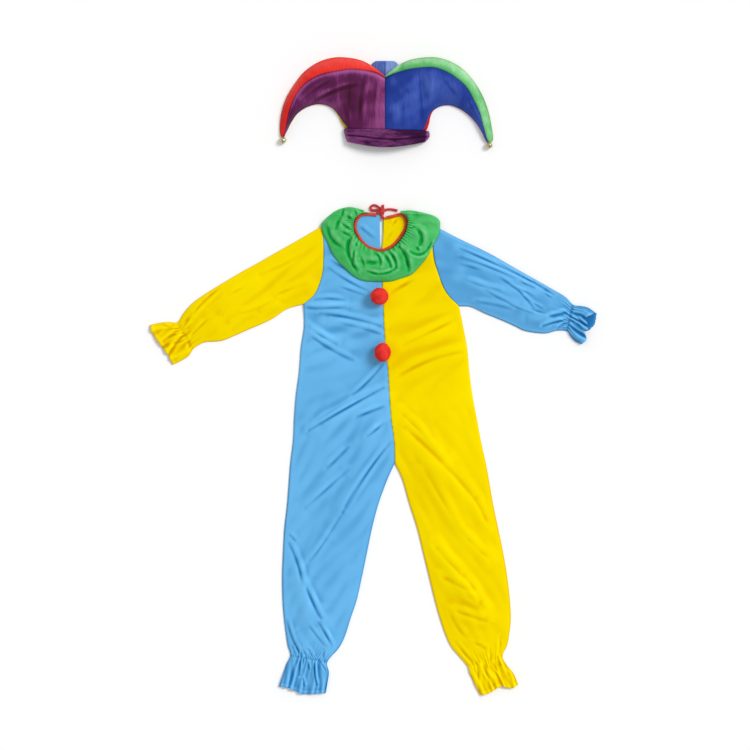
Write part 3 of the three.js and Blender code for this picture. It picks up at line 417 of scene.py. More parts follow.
SLEEVE_CREASES = table("x0 y0 xm ym x1 y1 deep wide side", [
    (-340, 196, -380, 163, -396, 141, 6, 6, 1),
    (-400, 142, -409, 128, -417, 113, 3.5, 7, 1),
    (-366, 126, -385, 108, -400, 93, 3, 6, -1),
    (-401, 118, -405, 112, -409, 106, 2.5, 4, -1),
    (-405, 78, -407, 69, -404, 60, 3, 6, -1),
    (-431, 98, -452, 90, -468, 75, 4, 6, -1),
    (-419, 93, -441, 70, -453, 44, 6, 6, -1),
    (-465, 116, -456, 112, -447, 109, 3, 4, 1),
    (-350, 142, -340, 136, -328, 134, 1.6, 20, -1),
    (-335, 118, -326, 115, -312, 118, 1.6, 20, -1),
    (-262, 140, -250, 146, -236, 142, 1.6, 18, -1),
    (-215, 172, -205, 165, -196, 168, 1.4, 12, -1),
    (-150, 205, -185, 196, -225, 172, 2, 9, -1),
    (-165, 268, -205, 240, -250, 226, 2, 9, -1),
    (-215, 170, -260, 146, -300, 138, 2, 8, -1),
    (-270, 210, -300, 188, -322, 180, 2, 8, -1),
    (321, 210, 336, 203, 353, 196, 2.5, 5, 1),
    (347, 213, 366, 200, 394, 181, 3.5, 6, 1),
    (376, 183, 384, 178, 392, 174, 2, 4, 1),
    (384, 133, 404, 136, 424, 143, 4, 6, 1),
    (372, 112, 398, 122, 428, 126, 5, 5, 1),
    (403, 106, 415, 120, 430, 121, 3, 3.5, 1),
    (432, 126, 443, 121, 456, 110, 5, 4, 1),
    (440, 137, 450, 131, 459, 119, 4, 4, 1),
    (187, 283, 251, 257, 328, 219, 3.2, 5.5, 1),
    (268, 255, 308, 231, 352, 207, 2.6, 5, 1),
    (189, 264, 255, 243, 322, 212, 2.2, 5, 1),
    (277, 218, 299, 205, 326, 183, 1.8, 5.5, 1),
    (317, 191, 343, 161, 352, 152, 1.6, 5, 1),
    (246, 191, 277, 169, 308, 161, 1.5, 6, 1),
    (328, 219, 348, 209, 367, 198, 2.6, 5, 1),
    (189, 248, 210, 243, 235, 236, 1.4, 5, 1),
    (200, 215, 235, 200, 275, 190, 1.4, 7, 1),
    (225, 165, 265, 160, 300, 150, 1.6, 7, 1),
    (300, 200, 330, 190, 352, 178, 1.3, 4, 1),
    (285, 168, 315, 150, 350, 140, 1.3, 4, 1),
    (330, 176, 352, 160, 372, 150, 1.4, 4, 1),
    (345, 150, 362, 142, 380, 140, 1.5, 4, -1),
])
RUFF_CREASES = table("x0 y0 xm ym x1 y1 deep wide side", [
    (-51, 304, -65, 284, -51, 258, 7, 6, 1),
    (-51, 258, -46, 246, -38, 234, 6, 5, 1),
    (-44, 280, -46, 266, -46, 252, 6, 4, 1),
    (-101, 326, -99, 300, -75, 288, 5, 6, 1),
    (-74, 348, -80, 338, -83, 327, 4, 5, 1),
    (-67, 367, -69, 360, -70, 353, 4, 4, 1),
    (-72, 338, -63, 330, -52, 325, 4, 4, 1),
    (-58, 352, -54, 350, -49, 347, 5, 4, 1),
    (-68, 318, -62, 314, -55, 312, 4, 4, 1),
    (-42, 366, -40, 360, -35, 353, 3, 3, 1),
    (-30, 371, -27, 367, -24, 362, 3, 3, 1),
    (3, 272, 15, 264, 14, 246, 5, 4, 1),
    (-22, 254, -8, 250, 7, 251, 4, 6, 1),
    (33, 276, 50, 258, 48, 240, 6, 4, 1),
    (48, 240, 38, 228, 14, 226, 4, 3.5, -1),
    (14, 226, 0, 226, -14, 232, 4, 3.5, -1),
    (24, 268, 34, 254, 38, 238, 5, 4, 1),
    (63, 277, 74, 262, 76, 234, 7, 5, 1),
    (52, 292, 56, 286, 61, 279, 4, 3, 1),
    (95, 324, 110, 308, 101, 291, 6, 6, 1),
    (79, 276, 98, 260, 116, 277, 4, 4, -1),
    (116, 277, 121, 284, 126, 294, 4, 4, -1),
    (94, 284, 96, 281, 98, 278, 4, 3.5, 1),
    (75, 327, 84, 328, 95, 330, 1.5, 3, 1),
    (-39, 296, -38, 290, -41, 286, 3, 3, 1),
    (-28, 262, -27, 254, -22, 246, 3, 4, 1),
])

# Ruff from its left end at the back of the neck round the front to its right end: neckline and rim.
RUFF_SECTIONS = table("neck_x neck_y rim_x rim_y", [
    (-12, 361, -20, 366),
    (-28, 359, -55, 374),
    (-38, 352, -86, 364),
    (-43, 345, -112, 342),
    (-45, 336, -114, 322),
    (-45, 326, -104, 296),
    (-42, 315, -88, 266),
    (-35, 304, -68, 242),
    (-25, 293, -46, 222),
    (-12, 283, -18, 211),
    (15, 275, 18, 209),
    (36, 281, 53, 214),
    (50, 291, 84, 227),
    (59, 302, 107, 250),
    (67, 313, 126, 281),
    (72, 325, 139, 305),
    (74, 336, 145, 323),
    (75, 345, 145, 340),
    (72, 352, 136, 352),
    (68, 357, 119, 359),
    (62, 360, 84, 366),
    (54, 359, 59, 365),
])
HIDDEN_RUFFS = {
    "ruff_back_left": table("out_x out_y in_x in_y", [
        (-22, 357, 9, 357), (-34, 340, 10, 340), (-32, 318, 10, 318), (-18, 298, 10, 300),
    ]),
    "ruff_back_right": table("out_x out_y in_x in_y", [
        (54, 354, 21, 350), (63, 338, 19, 336), (60, 316, 19.5, 316), (45, 298, 21, 300),
    ]),
}

# Binding from the left edge of the slit round the front to its right edge, and the ties that go on from it
# with the solids that each stands for.
BINDING = table("line_x line_y", [
    (5.6, 356.2), (-10, 358), (-27, 356.3), (-37, 347), (-41.5, 335), (-41, 325), (-32, 306), (-13, 286),
    (15, 278.5), (33, 284), (47, 294), (61, 312), (69, 327), (70.5, 340), (66, 352.5), (57, 357), (41, 353.3),
    (26.5, 349.8),
])
TIE_LOOP = [
    (7, 359, 5.6), (9, 361, 4.6), (11, 362.6, 4), (14, 366, 4), (13.5, 369.8, 3.2), (9, 375, 2.4),
    (2, 378.6, 2.3), (-5, 377, 2.3), (-8.5, 371.5, 2.3), (-5.5, 366.6, 2.6), (1, 366.8, 3.2),
    (11.2, 366.6, 4), (17, 366.4, 4.4), (19, 369, 3.6), (20.4, 374, 2.5), (19.6, 379, 2.3),
]
TIE_TAIL = [
    (23.2, 347.8, 7), (21, 348.7, 6.9), (19.1, 350.3, 6.7), (18, 352.7, 6.3), (17.6, 355.5, 5.8),
    (17.6, 359.4, 5.1), (18, 363, 4.6), (19.6, 365, 4.4), (22.8, 366, 4), (25.6, 367.4, 3.2),
    (29, 368.6, 2.6), (33.4, 368.9, 2.4), (38, 368.6, 2.3), (42, 368.2, 2.3), (46, 367.6, 2.3),
    (51.6, 366, 2.3),
]
TIES = {
    "tie_loop_cord": (TIE_LOOP, ("tie_lead_left", "tie_loop", "tie_end")),
    "tie_tail_cord": (TIE_TAIL, ("tie_lead_right", "tie_tail")),
}

# Horns from the hat's centre seam to the tip: lower edge, upper front seam, outer edge of the gusset; crown
# is 1 where the lower edge is sewn to the band, high the height of the upper seam.
HORNS = {
    "left": table("low_x low_y seam_x seam_y out_x out_y crown high", [
        (24, 544, 24, 657, 24, 661, 1, 18),
        (-4, 544, 4, 667, 1, 680, 1, 22),
        (-35, 546, -22, 673, -24, 695, 1, 25),
        (-61, 546, -53, 675, -53, 702, 1, 26),
        (-76, 573, -82, 671, -87, 703, 0, 26),
        (-95, 593, -114, 664, -122, 693, 0, 25),
        (-121, 600, -142, 651, -154, 671, 0, 24),
        (-146, 594, -164, 631, -178, 640, 0, 22),
        (-167, 580, -178, 607, -194, 612, 0, 19),
        (-181, 561, -187, 582, -203, 584, 0, 16),
        (-189, 545, -192, 558, -207, 557, 0, 13),
        (-194.5, 534, -196.5, 537, -207, 537, 0, 10),
        (-197, 528, -199.5, 528, -204.5, 528, 0, 8),
    ]),
    "right": table("low_x low_y seam_x seam_y out_x out_y crown high", [
        (24, 544, 24, 657, 24, 661, 1, 18),
        (53, 543, 43, 665, 46, 680, 1, 22),
        (83, 543, 68, 673, 72, 695, 1, 25),
        (113, 542, 98, 678, 102, 702, 1, 26),
        (122, 575, 130, 679, 136, 703, 0, 26),
        (139, 592, 158, 670, 168, 694, 0, 25),
        (163, 598, 183, 654, 198, 675, 0, 24),
        (188, 590, 204, 634, 222, 647, 0, 22),
        (209, 575, 219, 608, 240, 616, 0, 19),
        (226, 556, 231, 583, 252, 583, 0, 16),
        (237, 538, 239, 554, 259, 549, 0, 13),
        (243.5, 524, 246, 529, 262, 524, 0, 10),
        (248, 517, 251, 516.6, 258, 516.4, 0, 8),
    ]),
}
# Last row on the crown, and how far the front is cut back at the corner after it
CROWN_END = 3
CROWN_CUT = 4.5
# Third point from its bell to its fold: half its width and its height.
THIRD_POINT = table("y half high", [
    (581, 5, 5),
    (600, 13, 4),
    (620, 19, 4),
    (640, 24, 6),
    (656, 27, 8.5),
    (668, 30, 10),
    (680, 31, 10),
    (690, 27, 8),
    (695, 20, 3.4),
])
HAT_CREASES = table("x0 y0 xm ym x1 y1 deep wide side", [
    (-128, 608, -80, 632, -40, 640, 4, 8, 1),
    (-165, 600, -130, 634, -85, 655, 2.5, 7, 1),
    (-30, 550, -34, 600, -20, 660, 3, 10, -1),
    (0, 552, -2, 600, 6, 655, 1.5, 6, -1),
    (-60, 552, -58, 575, -66, 598, 2.5, 7, -1),
    (45, 664, 58, 640, 78, 622, 1.3, 12, 1),
    (100, 662, 112, 636, 116, 606, 1.5, 13, 1),
    (150, 654, 172, 628, 190, 606, 1.6, 9, 1),
    (205, 610, 220, 580, 234, 552, 2, 6, 1),
    (60, 548, 66, 580, 62, 606, 1.2, 12, 1),
    (100, 548, 104, 570, 112, 590, 1.3, 10, 1),
])


# Shape tools

def spline(values, at, corners=()):
    """Values at fractional row numbers, on a smooth curve through the rows that bends sharply at corners."""
    values = np.asarray(values, dtype=float)
    stops = [0, *corners, len(values) - 1]
    result = np.empty((len(at),) + values.shape[1:])
    for first, last in zip(stops[:-1], stops[1:]):
        chosen = (at >= first) & (at <= last)
        part = values[first:last + 1]
        part = np.concatenate([[2 * part[0] - part[1]], part, [2 * part[-1] - part[-2]]])
        row = np.clip(np.floor(at[chosen]).astype(int) - first, 0, last - first - 1)
        t = at[chosen] - first - row
        if values.ndim > 1:
            t = t[:, None]
        a, b, c, d = part[row], part[row + 1], part[row + 2], part[row + 3]
        square = 2 * a - 5 * b + 4 * c - d
        cubic = -a + 3 * b - 3 * c + d
        result[chosen] = 0.5 * (2 * b + (c - a) * t + square * t ** 2 + cubic * t ** 3)
    return result


def stations(points, step, fine_rows=0):
    """Fractional row numbers along rows of points, so close that no step is longer than step, or in the first
    fine_rows than FINE_STEP."""
    at = [0.0]
    for row, length in enumerate(np.linalg.norm(np.diff(points, axis=0), axis=1)):
        parts = max(1, math.ceil(length / (FINE_STEP if row < fine_rows else step)))
        at += [row + (k + 1) / parts for k in range(parts)]
    return np.array(at)


def lengths_along(points):
    """Length of a line from its start to each of its points."""
    return np.append(0, np.cumsum(np.linalg.norm(np.diff(points, axis=0), axis=1)))


def eased(count, share):
    """Steps from 0 to 1 that are closer together at both ends, by the given share."""
    even = np.linspace(0, 1, count + 1)
    return share * (0.5 - 0.5 * np.cos(np.pi * even)) + (1 - share) * even


def pairs(columns, name):
    """The places under two columns of a table, such as low_x and low_y for low."""
    return np.stack([columns[name + "_x"], columns[name + "_y"]], axis=1)


def smoothstep(value, low, high):
    t = np.clip((value - low) / (high - low), 0, 1)
    return t * t * (3 - 2 * t)


def mix(a, b, share):
    return a + (b - a) * share


def hump(far, wide):
    """1 in the middle, less than a fiftieth at twice the half width."""
    return np.exp(-(far / wide) ** 2)


def arch(share):
    """0 at both ends and 1 in the middle."""
    return np.sin(np.pi * np.clip(share, 0, 1))


def rounded(reach, radius):
    """Rise of a rounded edge, from 0 at the edge itself to 1 from radius on."""
    return np.sqrt(1 - (1 - np.clip(reach / radius, 0, 1)) ** 2)


def levels(x, y, *heights):
    """Grids of points over the same places, one for each height."""
    return [np.stack([x, y, height], axis=2) for height in heights]


def nearest(x, y, curves, k, parts=12):
    """Distance from places to curve k of a table, with a sign that is positive on its left and without it, and
    how far along it they lie."""
    t = np.linspace(0, 1, parts + 1)
    cx, cy = ((1 - t) ** 2 * curves[axis + "0"][k] + 2 * t * (1 - t) * curves[axis + "m"][k]
              + t ** 2 * curves[axis + "1"][k] for axis in "xy")
    best = np.full(x.shape, np.inf)
    signed = np.zeros(x.shape)
    along = np.zeros(x.shape)
    for part in range(parts):
        dx, dy = cx[part + 1] - cx[part], cy[part + 1] - cy[part]
        share = np.clip(((x - cx[part]) * dx + (y - cy[part]) * dy) / (dx * dx + dy * dy), 0, 1)
        ox, oy = x - cx[part] - share * dx, y - cy[part] - share * dy
        far = np.hypot(ox, oy)
        closer = far < best
        best = np.where(closer, far, best)
        signed = np.where(closer, np.sign(dx * oy - dy * ox) * far, signed)
        along = np.where(closer, (part + share) / parts, along)
    return signed, best, along


def fold_height(x, y):
    """What the broad ridges add to the cloth's height."""
    height = np.zeros(x.shape)
    for k, wide in enumerate(FOLDS["wide"]):
        _, far, along = nearest(x, y, FOLDS, k, parts=6)
        height += FOLDS["high"][k] * np.sqrt(arch(np.clip(along, 0.08, 0.92))) * hump(far, wide)
    return height


def crease_height(x, y, creases, broad=1.0):
    """What the creases add: a soft trough with a ridge along one side, both fading out towards the ends."""
    height = np.zeros(x.shape)
    for k, wide in enumerate(creases["wide"] * broad):
        signed, far, along = nearest(x, y, creases, k)
        uneven_depth = 0.8 + 0.2 * np.sin(9 * along + 2.3 * k)
        taper = np.sqrt(arch(np.clip(along, 0.03, 0.97))) * uneven_depth
        trough = hump(far, CREASE["trough_wide"] * wide)
        ridge = hump(signed * creases["side"][k] - CREASE["aside"] * wide, CREASE["ridge_wide"] * wide)
        ridge = ridge * np.exp(-np.maximum(0, far - CREASE["end"] * wide) / wide)
        height += creases["deep"][k] * taper * (CREASE["ridge"] * ridge - CREASE["trough"] * trough)
    return height


def ripples(x, y, kind, seed, way=0.0):
    """Low uneven waves of one kind, drawn out along the direction way."""
    random = np.random.default_rng(SEED + seed)
    wanted = RIPPLES[kind]
    along = (x * math.cos(way) + y * math.sin(way)) / wanted["stretch"]
    aside = y * math.cos(way) - x * math.sin(way)
    height = np.zeros(x.shape)
    for _ in range(RIPPLE_WAVES):
        turn = random.uniform(0, 2 * np.pi)
        wave = TURN / (wanted["length"] * random.uniform(0.6, 1.7))
        phase = random.uniform(0, 2 * np.pi)
        bend = 0.8 * np.sin((along * np.sin(turn) + aside * np.cos(turn)) * 0.37 * wave + phase)
        height += np.sin((along * np.cos(turn) + aside * np.sin(turn)) * wave + phase + bend)
    return wanted["size"] * height / math.sqrt(RIPPLE_WAVES)


def uneven(across, seed, size=0.05):
    """Place across a gathered edge, shifted so that what repeats there does so unevenly."""
    random = np.random.default_rng(SEED + seed)
    shift = sum(np.sin(TURN * (k + 1) * across + random.uniform(0, 6.3)) / (k + 1) for k in range(4))
    return across + size * shift * arch(across)


def blurred(values, reach):
    """Values of a grid, smoothed over reach steps each way."""
    weights = np.exp(-np.linspace(-2, 2, 2 * reach + 1) ** 2)
    weights /= weights.sum()
    for axis in (0, 1):
        edges = [(reach, reach) if k == axis else (0, 0) for k in (0, 1)]
        padded = np.pad(values, edges, mode="edge")
        length = values.shape[axis]
        parts = [np.take(padded, range(k, k + length), axis=axis) * w for k, w in enumerate(weights)]
        values = sum(parts)
    return values


def hollows(height):
    """How far each point lies below its surroundings, from -1 on a crest to 1 in a trough, which the painted
    shading starts from.
    """
    return np.clip((blurred(height, HOLLOW["reach"]) - height) / HOLLOW["deep"], -1, 1)


# Meshes

def link(name, data):
    """A new object in the scene."""
    piece = bpy.data.objects.new(name, data)
    bpy.context.scene.collection.objects.link(piece)
    return piece


def make_mesh(name, points, faces, material, painted_shading, smooth=True):
    """A mesh object from points in millimetres, with each point's painted shading for the finishes: painted
    shade above 0, painted highlight below it.
    """
    mesh = bpy.data.meshes.new(name)
    mesh.from_pydata((points * MM).tolist(), [], [list(dict.fromkeys(face)) for face in faces.tolist()])
    if smooth:
        mesh.shade_smooth()
    mesh.attributes.new("painted_shading", "FLOAT", "POINT").data.foreach_set("value", painted_shading.astype(np.float32))
    mesh.materials.append(material)
    return link(name, mesh)


def closed_mesh(name, points, faces, material, painted_shading):
    """A closed mesh of four-cornered faces, which are turned outwards."""
    a, b, c, d = (points[faces[:, k]] for k in range(4))
    volume = (np.cross(b - a, c - a) * a).sum() + (np.cross(c - a, d - a) * a).sum()
    return make_mesh(name, points, faces[:, ::-1] if volume < 0 else faces, material, painted_shading)


def quads(grid):
    return np.stack([grid[:-1, :-1], grid[:-1, 1:], grid[1:, 1:], grid[1:, :-1]], axis=-1).reshape(-1, 4)


def shell(name, top, under, material, ring=False, tone=0.0, shade=0.0):
    """A thin closed wall between two grids of points; a ring's columns close on themselves. Painted shade
    darkens its hollows and painted highlight lightens its crests, with more painted shading given for each
    side."""
    rows, columns = top.shape[:2]
    over = np.arange(rows * columns).reshape(rows, columns)
    if ring:
        over = np.concatenate([over, over[:, :1]], axis=1)
    below = over + rows * columns
    rims = [np.stack([over[k], below[k]]) for k in (0, -1)]
    if not ring:
        rims += [np.stack([over[:, k], below[:, k]]) for k in (0, -1)]
    rims = [quads(rim if k in (1, 2) else rim[::-1]) for k, rim in enumerate(rims)]
    faces = np.concatenate([quads(over), quads(below)[:, ::-1], *rims])
    points = np.concatenate([top.reshape(-1, 3), under.reshape(-1, 3)])
    outside = hollows(top[:, :, 2]) + tone
    inside = hollows(-under[:, :, 2]) + shade
    return closed_mesh(name, points, faces, material, np.concatenate([outside.ravel(), inside.ravel()]))


def flat_ring(floor, roof, floor_z, roof_z, soft, middle):
    """One wall of a flattened tube, across its floor and back over its roof, drawn in to the middle height
    where soft is less than 1."""
    lower, upper = (np.concatenate([place, (middle + (z - middle) * soft)[..., None]], axis=2)
                    for place, z in ((floor, floor_z), (roof, roof_z)))
    return np.concatenate([lower, upper[:, ::-1]], axis=1)


def tube(name, rings, material, painted_shading):
    """A solid rod through rings of points, closed at both ends by a fan to the middle of the end ring."""
    rows, columns = rings.shape[:2]
    over = np.arange(rows * columns).reshape(rows, columns)
    over = np.concatenate([over, over[:, :1]], axis=1)
    ends = [rings[k].mean(axis=0) for k in (0, -1)]
    faces = [quads(over)]
    for k, row in enumerate((over[0], over[-1][::-1])):
        middle = np.full(columns, rows * columns + k)
        faces.append(np.stack([row[1:], row[:-1], middle, middle], axis=1))
    points = np.concatenate([rings.reshape(-1, 3), ends])
    return closed_mesh(name, points, np.concatenate(faces), material, np.append(painted_shading.ravel(), [0, 0]))


def ball(rows, columns):
    """A ball's latitudes, angles round it and the way that each of its points faces."""
    up = np.linspace(-POLE, POLE, rows)[:, None]
    turn = np.linspace(0, TURN, columns, endpoint=False)[None, :]
    ways = np.stack([np.cos(up) * np.cos(turn), np.cos(up) * np.sin(turn), np.sin(up) + 0 * turn], axis=2)
    return up, turn, ways


def on_root(piece, slot, *nodes):
    """The piece lies with the suit or hat and stands for solids; slot is not used."""
    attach(piece, BODY)
    if nodes:
        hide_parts(*nodes)
    return piece


# Materials

def rgb(code):
    """A colour as the renderer takes it, from its usual six-figure code."""
    parts = [int(code[k:k + 2], 16) / 255 for k in (0, 2, 4)]
    return [p / 12.92 if p <= 0.04045 else ((p + 0.055) / 1.055) ** 2.4 for p in parts] + [1]


class Wire:
    """One output of a shader node; arithmetic on it adds Math nodes."""

    def __init__(self, paint, socket):
        self.paint = paint
        self.socket = socket

    def math(self, operation, first, second):
        return self.paint.node("Math", {"operation": operation}, {0: first, 1: second})

    def __add__(self, other):
        return self.math("ADD", self, other)

    __radd__ = __add__

    def __sub__(self, other):
        return self.math("SUBTRACT", self, other)

    def __rsub__(self, other):
        return self.math("SUBTRACT", other, self)

    def __mul__(self, other):
        return self.math("MULTIPLY", self, other)

    def clamped(self):
        return self.math("MAXIMUM", self.math("MINIMUM", self, 1.0), 0.0)


class Paint:
    """A material in the making."""

    def __init__(self, name):
        self.material = bpy.data.materials.new(name)
        self.material.use_nodes = True
        self.tree = self.material.node_tree
        self.tree.nodes.clear()

    def node(self, kind, settings=None, sockets=None, output=0):
        """Adds a node: its settings first, then the values or links of its sockets."""
        node = self.tree.nodes.new("ShaderNode" + kind)
        for key, value in (settings or {}).items():
            setattr(node, key, value)
        for key, value in (sockets or {}).items():
            if isinstance(value, Wire):
                self.tree.links.new(value.socket, node.inputs[key])
            else:
                node.inputs[key].default_value = value
        return Wire(self, node.outputs[output]) if node.outputs else None

    def blend(self, share, first, second):
        """A colour between two others."""
        return self.node("Mix", {"data_type": "RGBA"}, {0: share, 6: first, 7: second}, 2)

    def place(self, stretch=(1, 1, 1), turn=0.0):
        """Places on the object in metres, stretched and turned about the vertical."""
        spot = self.node("TexCoord", output=3)
        return self.node("Mapping", {"vector_type": "TEXTURE"},
                         {"Vector": spot, "Rotation": (0, 0, turn), "Scale": stretch})

    def noise(self, spot, scale, detail=2.0, rough=0.5):
        values = {"Vector": spot, "Scale": scale, "Detail": detail, "Roughness": rough}
        return self.node("TexNoise", None, values)

    def painted_shading(self):
        return self.node("Attribute", {"attribute_name": "painted_shading"}, None, 2)

    def bump(self, height, distance, strength):
        return self.node("Bump", None, {"Height": height, "Distance": distance, "Strength": strength})

    def finish(self, **sockets):
        """Ends in the surface shader; names are its sockets, with an underscore for a space."""
        values = {name.replace("_", " "): value for name, value in sockets.items()}
        surface = self.node("BsdfPrincipled", None, values)
        self.node("OutputMaterial", None, {"Surface": surface})
        return self.material


def knit(name, dark, base, light, turn=0.0):
    """Thin satin-faced jersey: fine ribs, soft mottling, painted shade in creases and painted highlight on
    crests.
    """
    paint = Paint(name)
    spot = paint.place(turn=turn)
    painted_shading = paint.painted_shading()
    mottle = paint.noise(spot, 7, 3)
    # Painted highlight on crests and painted shade in troughs, over random mottling
    crest = ((mottle - 0.5) * 1.2 - painted_shading * 0.7 + 0.18).clamped()
    trough = ((0.5 - mottle) * 0.35 + painted_shading * 1.1).clamped()
    colour = paint.blend(trough, paint.blend(crest, base, light), dark)
    ribs = paint.node("TexWave", {"wave_type": "BANDS", "bands_direction": "X", "wave_profile": "SIN"},
                      {"Vector": spot, "Scale": 240, "Distortion": 0.6, "Detail": 1})
    rows = paint.noise(paint.place((1, 0.35, 1), turn), 900, 1)
    normal = paint.bump(ribs * 0.6 + rows * 0.4, 0.00012, 0.55)
    return paint.finish(Base_Color=colour, Roughness=(0.44 + (mottle - 0.5) * 0.2 + painted_shading * 0.08).clamped(),
                        Normal=normal, Specular_IOR_Level=0.4, Specular_Tint=light, Sheen_Weight=0.12,
                        Sheen_Roughness=0.4, Sheen_Tint=light)


def hat_cloth(name, dark, base, light, turn=0.0, painted_sheen_streaks=1.0):
    """Brushed satin with a nap: painted sheen streaks along the cloth, clouds, painted shade in hollows and
    painted highlight on crests.
    """
    paint = Paint(name)
    painted_shading = paint.painted_shading()
    streaks = paint.noise(paint.place((0.12, 1, 1), turn), 60, 4, 0.6)
    clouds = paint.noise(paint.place(), 14, 2)
    # Painted sheen streaks and painted highlight on crests, painted shade in hollows, over random clouds
    crest = ((streaks - 0.5) * (1.4 * painted_sheen_streaks) + (clouds - 0.5) * 1.6 - painted_shading * 0.6 + 0.15).clamped()
    trough = ((0.5 - clouds) * 1.6 + painted_shading * 0.8 + 0.1).clamped()
    colour = paint.blend(trough, paint.blend(crest, base, light), dark)
    nap = paint.noise(paint.place((0.3, 1, 1), turn), 1400, 2)
    normal = paint.bump(nap * 0.6 + streaks * 0.4, 0.0002, 0.6)
    return paint.finish(Base_Color=colour, Roughness=(0.5 + (streaks - 0.5) * 0.25).clamped(), Normal=normal,
                        Specular_IOR_Level=0.35, Specular_Tint=light, Sheen_Weight=0.25, Sheen_Roughness=0.35,
                        Sheen_Tint=light)


def tape(name, dark, base, light):
    """Woven tape with a fine diagonal twill, random mottling and painted shade in its dips."""
    paint = Paint(name)
    spot = paint.place(turn=0.7)
    twill = paint.node("TexWave", {"wave_type": "BANDS", "bands_direction": "X"},
                       {"Vector": spot, "Scale": 330, "Distortion": 0.4})
    mottle = paint.noise(spot, 70, 3)
    painted_shading = paint.painted_shading()
    # Painted shade in the dips, over random mottling
    colour = paint.blend(((mottle - 0.4) * 1.5).clamped(), paint.blend(painted_shading.clamped(), base, dark), light)
    return paint.finish(Base_Color=colour, Roughness=(0.55 + (mottle - 0.5) * 0.2).clamped(),
                        Normal=paint.bump(twill * 0.5 + mottle * 0.5, 0.0002, 0.7), Specular_IOR_Level=0.3,
                        Sheen_Weight=0.2, Sheen_Tint=light)


def pile(name, dark, base, light):
    """Short dense pile of a pompom, with random clouds and tufts and painted shade between its lumps."""
    paint = Paint(name)
    spot = paint.place()
    tufts = paint.noise(spot, 420, 3)
    clouds = paint.noise(spot, 60, 2)
    painted_shading = paint.painted_shading()
    colour = paint.blend(((clouds - 0.45) * 1.6).clamped(), base, light)
    # Random tufts and painted shade between the lumps
    colour = paint.blend(((0.45 - tufts) * 2 + painted_shading * 0.8).clamped(), colour, dark)
    return paint.finish(Base_Color=colour, Roughness=(0.85 + (tufts - 0.5) * 0.2).clamped(),
                        Normal=paint.bump(tufts, 0.0012, 0.7), Specular_IOR_Level=0.2, Sheen_Weight=0.5,
                        Sheen_Tint=light)


def plated(name, dark, base, light):
    """Pale brass plating with small dulled places, and painted shade in a bell's slot, where it is also less
    metallic.
    """
    paint = Paint(name)
    clouds = paint.noise(paint.place(), 300, 3)
    painted_shading = paint.painted_shading()
    colour = paint.blend(((clouds - 0.4) * 1.5).clamped(), base, light)
    # Painted shade in the slot
    colour = paint.blend((painted_shading * 1.2).clamped(), colour, dark)
    return paint.finish(Base_Color=colour, Metallic=(0.95 - painted_shading.clamped() * 0.6).clamped(),
                        Roughness=(0.26 + (clouds - 0.5) * 0.2).clamped(),
                        Normal=paint.bump(clouds, 0.0001, 0.3))


def paper(name, dark, light):
    """A plain pale floor, very slightly uneven in its whiteness."""
    paint = Paint(name)
    colour = paint.blend(paint.noise(paint.place(), 3, 2), dark, light)
    return paint.finish(Base_Color=colour, Roughness=0.9, Specular_IOR_Level=0.1)


# Finishes: how each is made, its colours from dark to light, the turn of its grain and how strong its painted
# sheen streaks are; the darkest colour of each cloth, tape, pile and plating also serves as painted shade, and
# the lightest of the knits and hat cloths as painted highlight
FINISHES = {
    "sky_blue_knit": (knit, "2474B4 62AFE4 7ACBFF"),
    "yellow_knit": (knit, "D69C00 F4D600 FFEA00"),
    "green_knit": (knit, "04A03C 3EB25A 68C67E", 0.5),
    "red_binding": (tape, "9A2A10 CE4226 E65A34"),
    "red_tie": (tape, "7C1414 BE2A2A D63C3A"),
    "red_pile": (pile, "B01818 EA352E F65048"),
    "hat_purple": (hat_cloth, "3E1826 642458 AE5E98", 0, 0.6),
    "hat_band": (hat_cloth, "1C0826 3C143C 98508C", math.pi / 2),
    "hat_blue": (hat_cloth, "172874 2A4299 5570C4", 0, 0.5),
    "hat_red": (hat_cloth, "BE1E1C E22E28 EE4A42"),
    "hat_green": (hat_cloth, "3A9450 6ABC72 AEDCB0"),
    "hat_yellow": (hat_cloth, "D8A830 F6D458 FCE68C"),
    "hat_mid_blue": (hat_cloth, "24408C 4A64AE 8EA8DA"),
    "bell_metal": (plated, "4A4024 C4BA90 E6E0C4"),
    "pale_floor": (paper, "FDFDFD FFFFFF"),
}


def make_materials():
    return {name: make(name, *[rgb(code) for code in codes.split()], *more)
            for name, (make, codes, *more) in FINISHES.items()}


# Ties, the two ends of the binding's tape, knotted in a one-loop bow

def make_tie(name, route, material):
    """A rod along a route, swelling where the tape lies wider, and lifted clear of the surface."""
    curve = bpy.data.curves.new(name, "CURVE")
    curve.dimensions = "3D"
    curve.bevel_depth = TIE_DIAMETER / 2 * MM
    curve.bevel_resolution = 5
    curve.use_fill_caps = True
    curve.resolution_u = 10
    line = curve.splines.new("NURBS")
    line.points.add(len(route) - 1)
    line.order_u = 4
    line.use_endpoint_u = True
    swell = TIE_SWELL[name]
    swells = np.interp(np.linspace(0, 1, len(route)), np.linspace(0, 1, len(swell)), swell)
    for point, (x, y, z), thick in zip(line.points, route, swells):
        lifted = max(z, TIE_DIAMETER / 2 * thick + 0.1)
        point.co = (x * MM, y * MM, lifted * MM, 1)
        point.radius = thick
    curve.materials.append(material)
    return link(name, curve)


